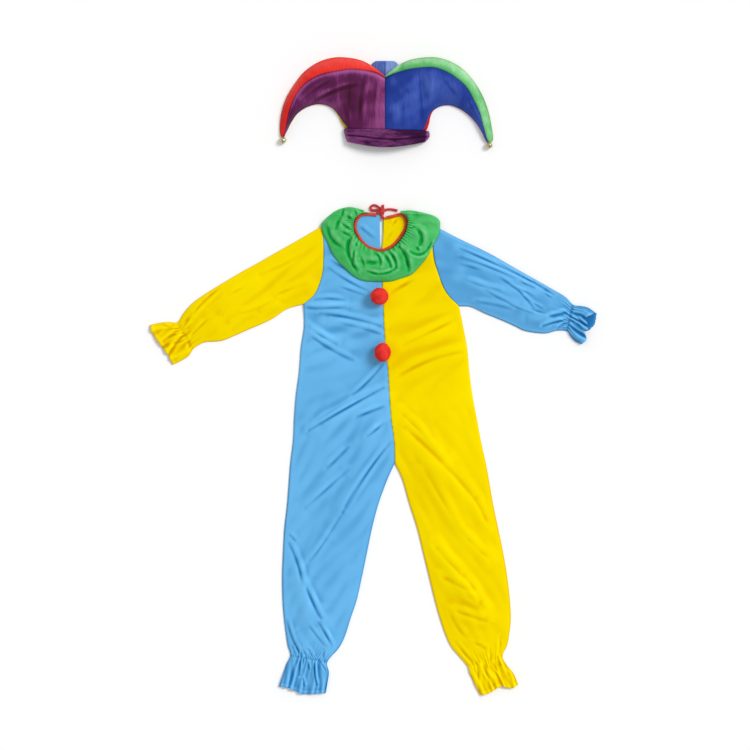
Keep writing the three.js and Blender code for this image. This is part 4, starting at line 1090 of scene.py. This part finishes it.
def add_knot(material):
    """The knot: a small turned lump of tape, with painted shade in its dips."""
    up, turn, ways = ball(30, 48)
    swell = 1 + 0.13 * np.sin(3 * turn + 4 * up) + 0.06 * np.sin(7 * turn - 5 * up)
    half = np.stack([KNOT["wide"] * swell, KNOT["long"] * swell, KNOT["high"] + 0 * swell], axis=2) / 2
    rings = np.array([KNOT["x"], KNOT["y"], KNOT["high"] / 2]) + ways * half
    # Painted shade where the knot dips in, painted highlight where it swells
    painted_shading = np.clip((1 - swell) * 8, -1, 1)
    return on_root(tube("tie_knot_turns", rings, material, painted_shading), "red_binding", "tie_knot")


def add_ties(materials):
    ties = [make_tie(name, route, materials["red_tie"]) for name, (route, _) in TIES.items()]
    knot = add_knot(materials["red_tie"])
    for tie, (route, nodes) in zip(ties, TIES.values()):
        on_root(tie, "red_binding", *nodes)
        smooth = spline(np.array(route, dtype=float), np.linspace(0, len(route) - 1, 200))
        [value * MM for value in route[0]]


# Suit

def back_under(x, y):
    """Underside of the backs: on the surface, but raised over the hidden back of the ruff."""
    far = np.hypot((x - NECK_RAISE["x"]) / NECK_RAISE["wide"], (y - NECK_RAISE["y"]) / NECK_RAISE["long"])
    return (HIDDEN_RUFF + GAP) * (1 - smoothstep(far, 1, NECK_RAISE["fade"]))


def half_rows(side, part):
    """Rows of one half of the suit's front or back from hem to shoulder: both edges, how open they are and
    the height of the frill's waves."""
    leg, yoke = LEGS[side], YOKES[side + "_" + part]
    torso_in = np.ones(len(TORSO["open"]))
    torso_in[0] = 0.35
    closed = np.zeros(len(leg["flute"]))
    return {
        "out": np.concatenate([pairs(leg, "out"), pairs(TORSO, side), pairs(yoke, "out")]),
        "in": np.concatenate([pairs(leg, "in"), pairs(TORSO, "seam"), pairs(yoke, "in")]),
        "out_open": np.concatenate([closed, TORSO["open"], yoke["open"]]),
        "in_open": np.concatenate([closed, torso_in, yoke["open"]]),
        "flute": np.concatenate([leg["flute"], 0 * TORSO["open"], 0 * yoke["open"]]),
    }


def hem_line(hem, across):
    """How far a hem reaches past its straight line: its table as a smooth line, with small scallops."""
    at = np.interp(across.ravel(), hem["across"], np.arange(len(hem["across"])))
    scallops = np.sin(TURN * HEM["scallops"] * uneven(across, 60, 0.08)) * arch(across) ** 0.5
    return spline(hem["past"], at).reshape(across.shape) + HEM["scallop"] * scallops


def hem_height(beyond):
    """The step where a frill's hem is turned up, from the distance to the hem."""
    return HEM["fold"] * (1 - smoothstep(beyond, HEM["from"], HEM["to"]))


def half_grid(side, part, columns, step):
    """Places of one half: x and y, place across, the rows' own values, and the distance above the elastic."""
    half = half_rows(side, part)
    at = stations(half["out"], step, ELASTIC_ROW + 3)
    out = spline(half["out"], at, (ARMPIT_ROW, SHOULDER_ROW))
    inner = spline(half["in"], at, (CROTCH_ROW, NECK_ROW))
    across = np.linspace(0, 1, columns + 1)[None, :]
    inset = (GAP / 2 / np.linalg.norm(inner - out, axis=1))[:, None]
    share = inset + (1 - 2 * inset) * across
    x = out[:, :1] + (inner - out)[:, :1] * share
    y = out[:, 1:] + (inner - out)[:, 1:] * share
    rows = np.arange(len(half["out"]))
    value = {key: np.interp(at, rows, half[key])[:, None] for key in ("out_open", "in_open", "flute")}
    past = hem_line(HEMS[side + "_leg"], across) * (value["flute"] / half["flute"][0]) ** 2
    lengths = lengths_along((out + inner) / 2)
    above = (lengths - np.interp(ELASTIC_ROW, at, lengths))[:, None]
    return x, y - past, share, value, above


def gathers(across, above, seed, style, reach_down):
    """Small gathers at an elastic: close ridges beside its groove, which fade out on both sides."""
    place = uneven(across, seed)
    close = 0.5 + 0.5 * np.cos(TURN * style["close"] * place)
    broad = 0.5 + 0.5 * np.cos(TURN * GATHERS["below"] * uneven(across, seed + 4, 0.06) + 1)
    long = 0.55 + 0.45 * np.sin(TURN * GATHERS["long"] * place + seed)
    ridges = np.where(above > 0, close * hump(above, GATHERS["up"] * long), broad * hump(above, reach_down))
    ridges = mix(0.5 * (close + broad), ridges, smoothstep(np.abs(above), 0, 4))
    return style["gather"] * (ridges - GATHERS["groove"] * hump(above, 3)) * arch(across) ** 0.3


def front_height(x, y, across, value, above, style, seed):
    """Underside of a front panel."""
    edges = mix(value["out_open"], value["in_open"], across)
    opened = edges + (1 - edges) * arch(across) ** 0.7
    share = np.minimum(1, 2 * opened)
    creases = style["crease"] * share * crease_height(x, y, CREASES, style["broad"])
    waves = mix(ripples(x, y, "leg", seed, style["leg_way"]), ripples(x, y, "torso", seed + 5, style["way"]),
                smoothstep(y, -160, 20))
    form = LOFT * opened + share * (fold_height(x, y) + waves) + creases
    flutes = np.sin(np.pi * ANKLE_FLUTES * uneven(across, seed + 9, 0.07)) ** 2
    wrinkles = ripples(x, y, "ankle", seed + 30, style["frill_way"])
    waved = value["flute"] * (0.25 + 0.4 * flutes) + 1.3 * creases + wrinkles
    pulled = gathers(across, above, seed, style, GATHERS["ankle_down"])
    height = mix(form, waved, smoothstep(value["flute"], 0, 4)) + pulled
    return back_under(x, y) + CLOTH + GAP + np.maximum(0, height)


def front_walls(side, seed):
    """A front panel, drawn in at its seams and thinner along its folded edges, with painted shade along those
    edges and on its frill.
    """
    style = FRONT_STYLES[side]
    x, y, across, value, above = half_grid(side, "front", **FRONT_GRID)
    from_out, from_in = (np.hypot(x - x[:, [edge]], y - y[:, [edge]]) for edge in (0, -1))
    seam = hump(from_in, SEAM["centre"]) * np.minimum(1, value["in_open"])
    puckers = 0.8 + 0.2 * np.sin(y / 3.1 + 2 * np.sin(y / 17))
    armhole = hump(from_out, SEAM["armhole"]) * value["out_open"]
    under = front_height(x, y, across, value, above, style, seed) - seam * puckers - 0.6 * armhole
    side_fold = hump(from_out, SEAM["side"]) * (1 - value["out_open"])
    wall = CLOTH - 0.6 * side_fold + hem_height(above - above[0])
    # Painted shade along the folded edges where the seams are closed, and on the frill
    edge = hump(from_out, SEAM["shade"]) + hump(from_in, SEAM["shade"])
    open_seam = np.minimum(1, value["out_open"] + value["in_open"])
    tone = 0.45 * edge * (1 - open_seam) + style["frill"] * smoothstep(value["flute"], 0.5, 5)
    return levels(x, y, under + wall, under), {"tone": tone}


def back_walls(side, seed):
    """A back panel, flat under the front and lightly creased where the neck opening shows it."""
    x, y, across, _, _ = half_grid(side, "back", **BACK_GRID)
    room = arch(across) ** 0.7 * (1 - smoothstep(y, 230, 270))
    creases = np.maximum(0, 0.5 * fold_height(x, -y) + ripples(x, y, "back", seed))
    neck = 2.2 * crease_height(x, y, CREASES) * smoothstep(y, 285, 300)
    raised = np.minimum(0.5 * LOFT * room, creases * room)
    under = back_under(x, y) + raised + np.maximum(-1.2, neck) * arch(across)
    return levels(x, y, np.maximum(under + CLOTH, 0), np.maximum(under, 0)), {}


def sleeve_place(side, at, across, back):
    """Places of a sleeve's ring, straight across but following the armhole at its start and lying back at its
    mouth, and the height of the frill's waves."""
    sleeve = SLEEVES[side]
    armhole = half_rows(side, "front")["out"][ARMPIT_ROW:SHOULDER_ROW + 1]
    sign = math.copysign(1, armhole[0, 0])
    low = spline(pairs(sleeve, "low"), at)[:, None]
    top = spline(pairs(sleeve, "top"), at)[:, None]
    share = across[:, :, None]
    chord = armhole[0] + (armhole[-1] - armhole[0]) * np.clip(share, 0, 1)
    at_armhole = np.clip(across.ravel(), 0, 1) * (len(armhole) - 1)
    bend = spline(armhole, at_armhole).reshape(*across.shape, 2) - chord
    curved = np.maximum(0, 1 - at / 3)[:, None, None]
    outward = np.concatenate([top[..., 1:] - low[..., 1:], low[..., :1] - top[..., :1]], axis=2)
    outward = sign * outward / np.linalg.norm(outward, axis=2, keepdims=True)
    flute = np.interp(at, np.arange(len(sleeve["flute"])), sleeve["flute"])[:, None]
    frill = (flute[..., None] / sleeve["flute"][-1]) ** 2
    past = (hem_line(HEMS[side + "_sleeve"], np.clip(across, 0, 1)) - back)[:, :, None]
    place = low + (top - low) * share + bend * curved + outward * past * frill
    place[:, :, 0] += sign * GAP * np.maximum(0, 1 - at)[:, None]
    return place, flute


def sleeve_height(x, y, across, beyond, flute, loft, style, seed):
    """Height of a sleeve's upper wall."""
    belly = arch(across)
    creases = crease_height(x, y, SLEEVE_CREASES)
    form = loft * belly ** 0.6 + (fold_height(x, y) + ripples(x, y, "arm", seed, style["way"])) * belly ** 0.5
    form = form + style["arm"] * creases * belly ** 0.2
    waves = np.sin(np.pi * CUFF_FLUTES * uneven(across, seed, 0.06)) ** 2
    wrinkles = ripples(x, y, "cuff", seed + 30, style["way"])
    waved = style["puff"] * loft * belly + flute * (style["low"] + style["waves"] * waves)
    waved = waved + (style["crease"] * creases + wrinkles) * belly ** 0.3
    pulled = gathers(across, beyond, seed + 3, style, GATHERS["cuff_down"])
    return SLEEVE_EDGE + np.maximum(0, mix(form, waved, smoothstep(flute, 0, 3)) + pulled)


def sleeve_walls(side, seed):
    """A sleeve: a flattened tube with its outer and inner wall, painted darker all over by a given amount,
    with painted shade on its frill and along its folded edges, and painted shade inside that is deeper than at
    its mouth.
    """
    sleeve, style = SLEEVES[side], SLEEVE_STYLES[side]
    low, top = pairs(sleeve, "low"), pairs(sleeve, "top")
    at = stations((low + top) / 2, SLEEVE_GRID["step"])
    lengths = lengths_along(spline((low + top) / 2, at))
    to_hem = (lengths[-1] - lengths)[:, None]
    beyond = (np.interp(CUFF_ELASTIC_ROW, at, lengths) - lengths)[:, None]
    rows = np.arange(len(low))
    width = np.interp(at, rows, np.linalg.norm(top - low, axis=1))[:, None]
    loft = np.interp(at, rows, sleeve["loft"])[:, None]
    walls = []
    for inset in (0.0, CLOTH):
        margin = inset / width
        across = margin + (1 - 2 * margin) * eased(SLEEVE_GRID["columns"], 0.45)[None, :]
        floor, flute = sleeve_place(side, at, across, 0)
        roof, _ = sleeve_place(side, at, across, style["back"] * hump(across - 0.74, 0.2))
        height = sleeve_height(roof[..., 0], roof[..., 1], across, beyond, flute, loft, style, seed) - inset
        soft = 1
        if inset == 0:
            reach = np.minimum(across, 1 - across) * width
            soft = rounded(reach, 4)
            height = height + hem_height(to_hem)
            # Darker all over by the style's amount, with painted shade on the frill and along the folded edges
            tone = style["tone"] + style["frill"] * smoothstep(flute, 1, 6) + 0.5 * hump(reach, SEAM["shade"])
        walls.append(flat_ring(floor, roof, np.full(across.shape, inset), height, soft, SLEEVE_EDGE / 2))
    tone = np.concatenate([tone, tone[:, ::-1]], axis=1)
    # Painted shade inside, less of it near the mouth
    return walls, {"ring": True, "tone": tone, "shade": 1.1 - 0.4 * hump(to_hem, 7)}


def add_suit(materials):
    """The panels, and then what each lies with."""
    makers = {"front": front_walls, "back": back_walls, "sleeve": sleeve_walls}
    for node, panel in PANELS.items():
        walls, looks = makers[node.split("_")[0]](panel["side"], panel["seed"])
        cloth = shell(node + "_cloth", *walls, materials[panel["slot"]], **looks)
        on_root(cloth, panel["slot"], node)


# Ruff and binding

def ruff_seat(x, y):
    """Height that the ruff lies on: the fronts, and past the shoulders the surface itself."""
    on_front = back_under(x, y) + 2 * CLOTH + 2 * GAP + LOFT + np.maximum(0, fold_height(x, y))
    aside = smoothstep(np.abs(x - NECK_CENTRE_X), SHOULDER["in_x"], SHOULDER["out_x"])
    return mix(on_front, GAP, aside * smoothstep(y, SHOULDER["low_y"], SHOULDER["high_y"]))


def ruff_grid():
    """Share of the way round and out, depth from neckline to rim, how full the ruff is there, and its places,
    which wander a little round it and wave at the rim."""
    steps, rows = RUFF_GRID["steps"], RUFF_GRID["rows"]
    at = np.linspace(0, len(RUFF_SECTIONS["neck_x"]) - 1, steps + 1)
    neck, rim = spline(pairs(RUFF_SECTIONS, "neck"), at), spline(pairs(RUFF_SECTIONS, "rim"), at)
    depth = np.linalg.norm(rim - neck, axis=1)[:, None]
    full = np.minimum(1, depth / 50)
    around = (at / at[-1])[:, None]
    even = np.linspace(0, 1, rows + 1)[None, :]
    out = 0.6 * even + 0.4 * np.sin(0.5 * np.pi * even)
    wander = 0.012 * np.sin(23 * around + 3 * out) * arch(out)
    sway = spline(np.concatenate([neck, rim], axis=1), np.clip((around + wander).ravel(), 0, 1) * steps)
    near, far = np.split(sway.reshape(steps + 1, rows + 1, 4), 2, axis=2)
    hem = 0.7 * np.sin(TURN * 11 * around + 2 * np.sin(11 * around)) * smoothstep(out, 0.7, 1) / depth
    place = near + (far - near) * (out + hem * full)[..., None]
    return around, out, depth, full, place[..., 0], place[..., 1]


def add_ruff(materials):
    """The ruff, gathered at the neckline and puffed towards its rim, with painted shade in its creases and
    gathers and painted highlight beside its creases, and its hidden ends.
    """
    around, out, depth, full, x, y = ruff_grid()
    pulled = 0.5 + 0.5 * np.cos(TURN * RUFF["gathers"] * uneven(around, 21, 0.02))
    long = 0.12 + 0.1 * (0.5 + 0.5 * np.sin(TURN * 13 * around + 1.7))
    gather = RUFF["gather"] * pulled * hump(out, long)
    puff = RUFF["puff"] * arch(0.12 + 0.86 * out) ** 0.6
    broad = RUFF["wave"] * np.sin(TURN * RUFF["waves"] * around + 1.4 * np.sin(7 * around)) * arch(out)
    creases = RUFF["crease"] * crease_height(x, y, RUFF_CREASES, RUFF["broad"]) * smoothstep(out, 0.02, 0.12)
    fine = ripples(x, y, "ruff", 31) + ripples(x, y, "ruff_fine", 33)
    seat = ruff_seat(x, y)
    body = RUFF["least"] + np.maximum(0.4, full * (puff + gather + broad + creases + fine))
    top = seat + 1 + (body - 1) * (0.12 + 0.88 * rounded((1 - out) * depth, RUFF["rim"]))
    under = seat + np.minimum(0.3 * body, 0.35 * puff * full) * arch(out)
    # Painted shade in the creases and in the gathers by the neckline, painted highlight beside the creases
    tone = 1.1 * np.clip(-creases / 2.4, -0.3, 1) + 0.12 * pulled * hump(out, 0.2)
    ruff = on_root(shell("ruff_cloth", *levels(x, y, top, under), materials["green_knit"], tone=tone),
                   "green_knit", "ruff")
    for name, section in HIDDEN_RUFFS.items():
        add_hidden_ruff(name, section, materials)


def add_hidden_ruff(name, section, materials):
    """The ruff's end, folded under the back: a doubled strip with soft pleats."""
    at = np.linspace(0, len(section["out_x"]) - 1, 60)
    out, inner = spline(pairs(section, "out"), at)[:, None], spline(pairs(section, "in"), at)[:, None]
    across = np.linspace(0.01, 0.99, 40)[None, :]
    place = out + (inner - out) * across[..., None]
    x, y = place[..., 0], place[..., 1]
    pleats = 0.5 + 0.5 * np.sin(y / 3.2 + 2 * np.sin(x / 14))
    grid = levels(x, y, np.full(x.shape, HIDDEN_RUFF), 0.9 * pleats * arch(across))
    piece = on_root(shell(name + "_cloth", *grid, materials["green_knit"]), "green_knit", name)
    wide = float(np.hypot(*(out - inner).mean(axis=(0, 1)))) * MM


def add_binding(materials):
    """Tape folded over the neckline's edge, with painted shade where its puckers draw in."""
    points = pairs(BINDING, "line")
    line = spline(points, np.linspace(0, len(points) - 1, 361))
    forward = np.gradient(line, axis=0)
    forward /= np.linalg.norm(forward, axis=1, keepdims=True)
    aside = np.stack([-forward[:, 1], forward[:, 0]], axis=1)
    turn = np.linspace(0, TURN, 20, endpoint=False)
    along = np.linspace(0, 1, len(line))[:, None]
    puckers = 1 + 0.05 * np.sin(TURN * 70 * along) + 0.04 * np.sin(TURN * 23 * along)
    middle = HIDDEN_RUFF + GAP + CLOTH + GAP + BINDING_HIGH / 2
    reach = BINDING_WIDE / 2 * puckers * np.sign(np.cos(turn)) * np.abs(np.cos(turn)) ** 0.8
    rings, = levels(line[:, :1] + aside[:, :1] * reach, line[:, 1:] + aside[:, 1:] * reach,
                    middle + BINDING_HIGH / 2 * puckers * np.sin(turn))
    # Painted shade where the puckers draw in, painted highlight where they swell
    painted_shading = np.clip((1 - puckers) * 6, -1, 1) * np.ones(len(turn))
    piece = on_root(tube("neck_binding_tape", rings, materials["red_binding"], painted_shading), "red_binding",
                    "neck_binding")


# Pompoms

def unit(ways):
    return ways / np.linalg.norm(ways, axis=-1, keepdims=True)


def add_pompom(name, material, seed):
    """A lumpy ball of pile, as high as its solid, with short fibres standing out of it, painted shade between
    its lumps and painted highlight on them.
    """
    spot = POMPOMS[name]
    low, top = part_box(name)
    centre = np.array([spot["x"], spot["y"], (low[2] + top[2]) / 2 / MM])
    half = np.array([spot["wide"] / 2, spot["long"] / 2, (top[2] - low[2]) / 2 / MM])
    _, _, facing = ball(70, 110)
    random = np.random.default_rng(SEED + seed)
    lumps = np.zeros(facing.shape[:2])
    for _ in range(PILE["lumps"]):
        way = unit(random.normal(size=3))
        lumps += random.uniform(0.4, 1) * np.exp(-(1 - facing @ way) / PILE["lump_wide"])
    size = PILE["size"] + PILE["lump_high"] * np.clip(lumps, 0, 2)
    rings = centre + facing * half * size[..., None]
    rings[..., 2] = np.maximum(rings[..., 2], low[2] / MM)
    # Painted shade between the lumps, painted highlight on them
    body = on_root(tube(name + "_ball", rings, material, np.clip(0.6 - lumps, -1, 1)), "red_pile", name)
    ways = unit(random.normal(size=(PILE["fibres"], 3)))
    ways = ways[ways[:, 2] > -0.55]
    lean = unit(ways + PILE["lean"] * random.normal(size=ways.shape))
    roots = centre + ways * half * PILE["root"]
    tips = roots + lean * random.uniform(PILE["short"], PILE["long"], size=(len(ways), 1))
    aside = unit(np.cross(lean, [0.3, 0.5, 0.8]))
    other = np.cross(lean, aside)
    corners = [roots + PILE["thick"] * (np.cos(a) * aside + np.sin(a) * other) for a in (0, 2.1, 4.2)]
    points = np.stack([*corners, tips], axis=1).reshape(-1, 3)
    first = 4 * np.arange(len(ways))[:, None]
    faces = np.concatenate([first + [0, 1, 3], first + [1, 2, 3], first + [2, 0, 3]])
    fibres = make_mesh(name + "_fibres", points, faces, material, np.zeros(len(points)), smooth=False)
    on_root(fibres, "red_pile")


# Hat

def band_share(x):
    return (x - BAND["left"]) / (BAND["right"] - BAND["left"])


def band_top(x):
    """Height of the band's upper wall."""
    return BAND["edge"] + BAND["rise"] * arch(band_share(x)) ** 0.6


def add_band(materials):
    level = np.linspace(0, 1, 26)[:, None]
    steps = eased(96, 0.5)[None, :]
    walls = []
    for margin in (0.0, BAND["wall"]):
        left = BAND["left"] + BAND["taper"] * level ** 2 + margin
        right = BAND["right"] - BAND["taper"] * level ** 2 + BAND["bulge"] * arch(level) - margin
        x = mix(left, right, steps)
        y = mix(BAND["top"] + BAND["slant"] * steps, BAND["foot"], level)
        dip = BAND["dip"] * level * arch(steps)
        soft = rounded(np.minimum(x - left, right - x), 5)
        crumple = ripples(x, y, "band", 41) + 1.2 * arch(level) ** 0.5
        fold = 1.4 * hump(level - 0.52 - 0.05 * np.sin(x / 30), 0.07)
        roof_z = band_top(x) - margin + (crumple - fold) * (0.2 + 0.8 * soft)
        floor, roof = (np.stack([x, line], axis=2) for line in (y, y - dip))
        walls.append(flat_ring(floor, roof, np.full(x.shape, margin), roof_z, soft if margin == 0 else 1,
                               BAND["edge"] / 2))
    # Darker on the right half than on the left, with a painted highlight on the rounded right end
    tone = 0.75 * smoothstep(x, 20, 60) - 1.7 * smoothstep(x, 108, 118) - 0.35
    tone = np.concatenate([tone, tone[:, ::-1]], axis=1)
    band = on_root(shell("hat_band_cloth", *walls, materials["hat_band"], ring=True, tone=tone), "hat_purple",
                   "hat_band")


def hat_back_under(x, y):
    """Underside of the hat's back: on the surface, but raised over the third point and its bell."""
    high = np.interp(y, THIRD_POINT["y"], THIRD_POINT["high"])
    aside = np.abs(x - BELL_BACK[0])
    over_point = (high + 3 * GAP) * smoothstep(y, 548, 590) * (1 - smoothstep(aside, 26, 44))
    bell_far = np.hypot(aside, np.maximum(0, np.abs(y - BELL_BACK[1]) - 3 * BELL_RADIUS))
    over_bell = (2 * BELL_RADIUS + 2) * (1 - smoothstep(bell_far, BELL_RADIUS, 4 * BELL_RADIUS))
    return np.maximum(over_point, over_bell * smoothstep(y, 545, 556))


def horn_lines(side):
    """A horn's lines from the hat's centre seam to its tip: the lower edges of front and back, the upper seam
    and the gusset's outer edge, with what changes along them."""
    horn, sign = HORNS[side], HORN_STYLES[side]["sign"]
    at = stations(pairs(horn, "seam"), HORN_STEP)
    low = spline(pairs(horn, "low"), at, (CROWN_END,))
    seam, out = spline(pairs(horn, "seam"), at), spline(pairs(horn, "out"), at)
    on_band = at <= CROWN_END
    low[on_band, 1] = BAND["top"] + BAND["slant"] * band_share(low[on_band, 0]) + GAP
    past = np.clip(at - CROWN_END, 0, 1)
    beyond_z = mix(band_top(horn["low_x"][CROWN_END]) - HAT_CLOTH, HORN_EDGE, past)
    low_z = np.where(on_band, band_top(low[:, 0]) - HAT_CLOTH, beyond_z)
    for edge in (low, seam, out):
        edge[:, 0] += sign * GAP / 2 * np.maximum(0, 1 - at)
    back_low = low.copy()
    low[:, 0] -= sign * CROWN_CUT * hump(at - CROWN_END, 0.4)
    high = spline(horn["high"], at)[:, None]
    crown = np.interp(at, np.arange(len(horn["crown"])), horn["crown"])[:, None]
    at = at[:, None]
    return {"at": at, "low": low, "back_low": back_low, "seam": seam, "out": out, "low_z": low_z[:, None],
            "high": high - HAT_CLOTH, "taper": high / HORN_HIGH, "crown": crown,
            "puckers": 0.7 + 0.3 * np.sin(TURN * at * 4)}


def between(start, end, share):
    """x and y of places between two lines."""
    place = start[:, None] + (end - start)[:, None] * share[..., None]
    return place[..., 0], place[..., 1]


def horn_front(lines, style):
    at, taper = lines["at"], lines["taper"]
    up = np.linspace(0, 1, 49)[None, :]
    x, y = between(lines["low"], lines["seam"], up)
    bulge = np.interp(at, [0, CROWN_END, CROWN_END + 1], [4, 1, HORN_BULGE])
    profile = mix(np.sin(up * np.pi / 2) ** 0.8, up, lines["crown"])
    z = mix(lines["low_z"], lines["high"], profile) + bulge * taper * arch(up)
    creases = crease_height(x, y, HAT_CREASES) + ripples(x, y, "horn", style["seed"])
    z = z + arch(up) ** 0.5 * creases * taper
    from_seam = (1 - up) * np.linalg.norm(lines["seam"] - lines["low"], axis=1)[:, None]
    z = z - hump(from_seam, 2.5) * lines["puckers"]
    # Painted shade, above 0, and painted highlight, below it: beside the upper seam, in the middle, by the
    # centre seam and at the tip
    tone = style["seam"] * hump(from_seam - 4, 4)
    tone = tone + style["middle"] * hump(at - 3.6, 2) * hump(up - 0.62, 0.34)
    tone = tone + style["centre"] * hump(at, 0.7) + style["tip"] * smoothstep(at, 7.5, 9)
    return levels(x, y, z + HAT_CLOTH, z), tone


def horn_gusset(lines, style):
    at, taper = lines["at"], lines["taper"]
    share = np.linspace(0, 1, 19)[None, :]
    width = np.linalg.norm(lines["out"] - lines["seam"], axis=1)[:, None]
    inset = np.minimum(0.3, GAP / np.maximum(width, 0.5))
    x, y = between(lines["seam"], lines["out"], inset + (1 - inset) * share)
    out_z = hat_back_under(*lines["out"].T)[:, None] + CLOTH + GAP
    swell = arch(share) + 1.4 * share * (1 - share)
    z = mix(lines["high"], out_z, share) + HORN_BULGE * taper * swell
    z = z + 0.5 * ripples(x, y, "gusset", style["seed"] + 2) * arch(share)
    z = z - hump(share * width, 2.2) * lines["puckers"]
    # Painted shade on the gusset's inner side and painted highlight on its outer side, and painted shade at
    # the tip
    tone = style["gusset"] * (1 - 2 * share) * (1 - smoothstep(at, 6, 9)) + 0.35 * smoothstep(at, 6.5, 9.5)
    return levels(x, y, z + HAT_CLOTH, z), tone


def horn_back(lines, style):
    at = lines["at"][:, 0]
    show = BACK_SHOW * np.clip(1 - np.abs(at - 3.5) / 1.2, 0, 1) * (at > CROWN_END)
    start = lines["back_low"] + np.stack([style["sign"] * show, 0 * at], axis=1)
    x, y = between(start, lines["out"], np.linspace(0, 1, 31)[None, :])
    z = hat_back_under(x, y)
    return levels(x, y, z + CLOTH, z), 0.0


def add_horn(side, materials):
    style, lines = HORN_STYLES[side], horn_lines(side)
    for part, make, slot in zip(HORN_PANELS, (horn_front, horn_gusset, horn_back), style["slots"]):
        name = "hat_%s_%s" % (part, side)
        walls, tone = make(lines, style)
        on_root(shell(name + "_cloth", *walls, materials[slot], tone=tone), slot, name)


def add_third_point(material):
    """The third horn, folded over under the hat, with a seam along its middle, painted shade on its left half
    and in the seam, and painted highlight on its right half.
    """
    at = np.linspace(0, len(THIRD_POINT["y"]) - 1, 90)
    y, half, high = (spline(THIRD_POINT[key], at)[:, None] for key in ("y", "half", "high"))
    share = np.linspace(-1, 1, 49)[None, :]
    roof = high * (0.35 + 0.65 * np.sqrt(np.maximum(0, 1 - share ** 2)))
    roof = roof - 1.2 * hump(share * half, 1.6) * np.minimum(1, high / 8)
    x = BELL_BACK[0] + half * share
    upper, lower = levels(x, y + 0 * x, roof, 0.02 * roof)
    rings = np.concatenate([lower[:, 1:-1], upper[:, ::-1]], axis=1)
    aside = rings[..., 0] - BELL_BACK[0]
    # Painted shade on the left half and in the middle seam, painted highlight on the right half
    tone = np.where(aside < 0, 0.35, -0.5) + 1.2 * hump(aside, 1.3)
    piece = on_root(tube("hat_third_point_cloth", rings, material, tone), "hat_mid_blue", "hat_third_point")


def add_bell(name, way, material):
    """A small round bell: two cups with a rolled seam between them and a slotted mouth towards way, with
    painted shade in the slot.
    """
    centre = np.mean(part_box(name), axis=0) / MM
    centre[2] = BELL_RADIUS * (1 + ROLLED_SEAM)
    _, _, facing = ball(61, 72)
    first, along = facing[..., 0], facing[..., 2]
    slot = np.exp(-(first / 0.09) ** 4) * smoothstep(-along, 0.25, 0.35)
    size = BELL_RADIUS * (1 + ROLLED_SEAM * hump(along, 0.07) - 0.3 * slot)
    mouth = unit(np.array([*way, 0.0]))
    axes = np.array([[-mouth[1], mouth[0], 0], [0, 0, 1], -mouth])
    rings = centre + size[..., None] * (facing @ axes)
    # Painted shade in the slot
    on_root(tube(name + "_cups", rings, material, np.clip(1.5 * slot, 0, 1)), "bell_metal", name)


def add_hat(materials):
    add_band(materials)
    for side in HORNS:
        add_horn(side, materials)
    add_third_point(materials["hat_mid_blue"])
    for name, way in BELL_MOUTHS.items():
        add_bell(name, way, materials["bell_metal"])


# Camera, floor and light

def add_camera():
    data = bpy.data.cameras.new("camera")
    data.sensor_width = SENSOR
    data.lens = SENSOR * CAMERA[2] / FRAME_WIDTH
    data.clip_end = 100
    camera = link("camera", data)
    camera.location = [value * MM for value in CAMERA]
    bpy.context.scene.camera = camera


def add_floor(material):
    """A wide floor, just under the surface that the costume lies on."""
    mesh = bpy.data.meshes.new("floor")
    size, under = FLOOR["size"], FLOOR["under"]
    corners = [(-size, -size, under), (size, -size, under), (size, size, under), (-size, size, under)]
    mesh.from_pydata(corners, [], [(0, 1, 2, 3)])
    mesh.materials.append(material)
    link("floor", mesh)


def add_light():
    """An even white sky and one soft sun from beyond the right shoulder."""
    world = bpy.data.worlds.new("studio")
    world.use_nodes = True
    background = world.node_tree.nodes["Background"]
    background.inputs["Color"].default_value = (1, 1, 1, 1)
    background.inputs["Strength"].default_value = SKY
    bpy.context.scene.world = world
    data = bpy.data.lights.new("key", "SUN")
    data.energy = SUN["energy"]
    data.angle = math.radians(SUN["wide"])
    link("key", data).rotation_euler = (0, math.radians(90 - SUN["elevation"]), math.radians(SUN["azimuth"]))
    bpy.context.scene.view_settings.view_transform = "Standard"


add_camera()
slots = make_materials()
add_ties(slots)
add_suit(slots)
add_ruff(slots)
add_binding(slots)
for number, pompom in enumerate(POMPOMS):
    add_pompom(pompom, slots["red_pile"], number)
add_hat(slots)
add_floor(slots["pale_floor"])
add_light()
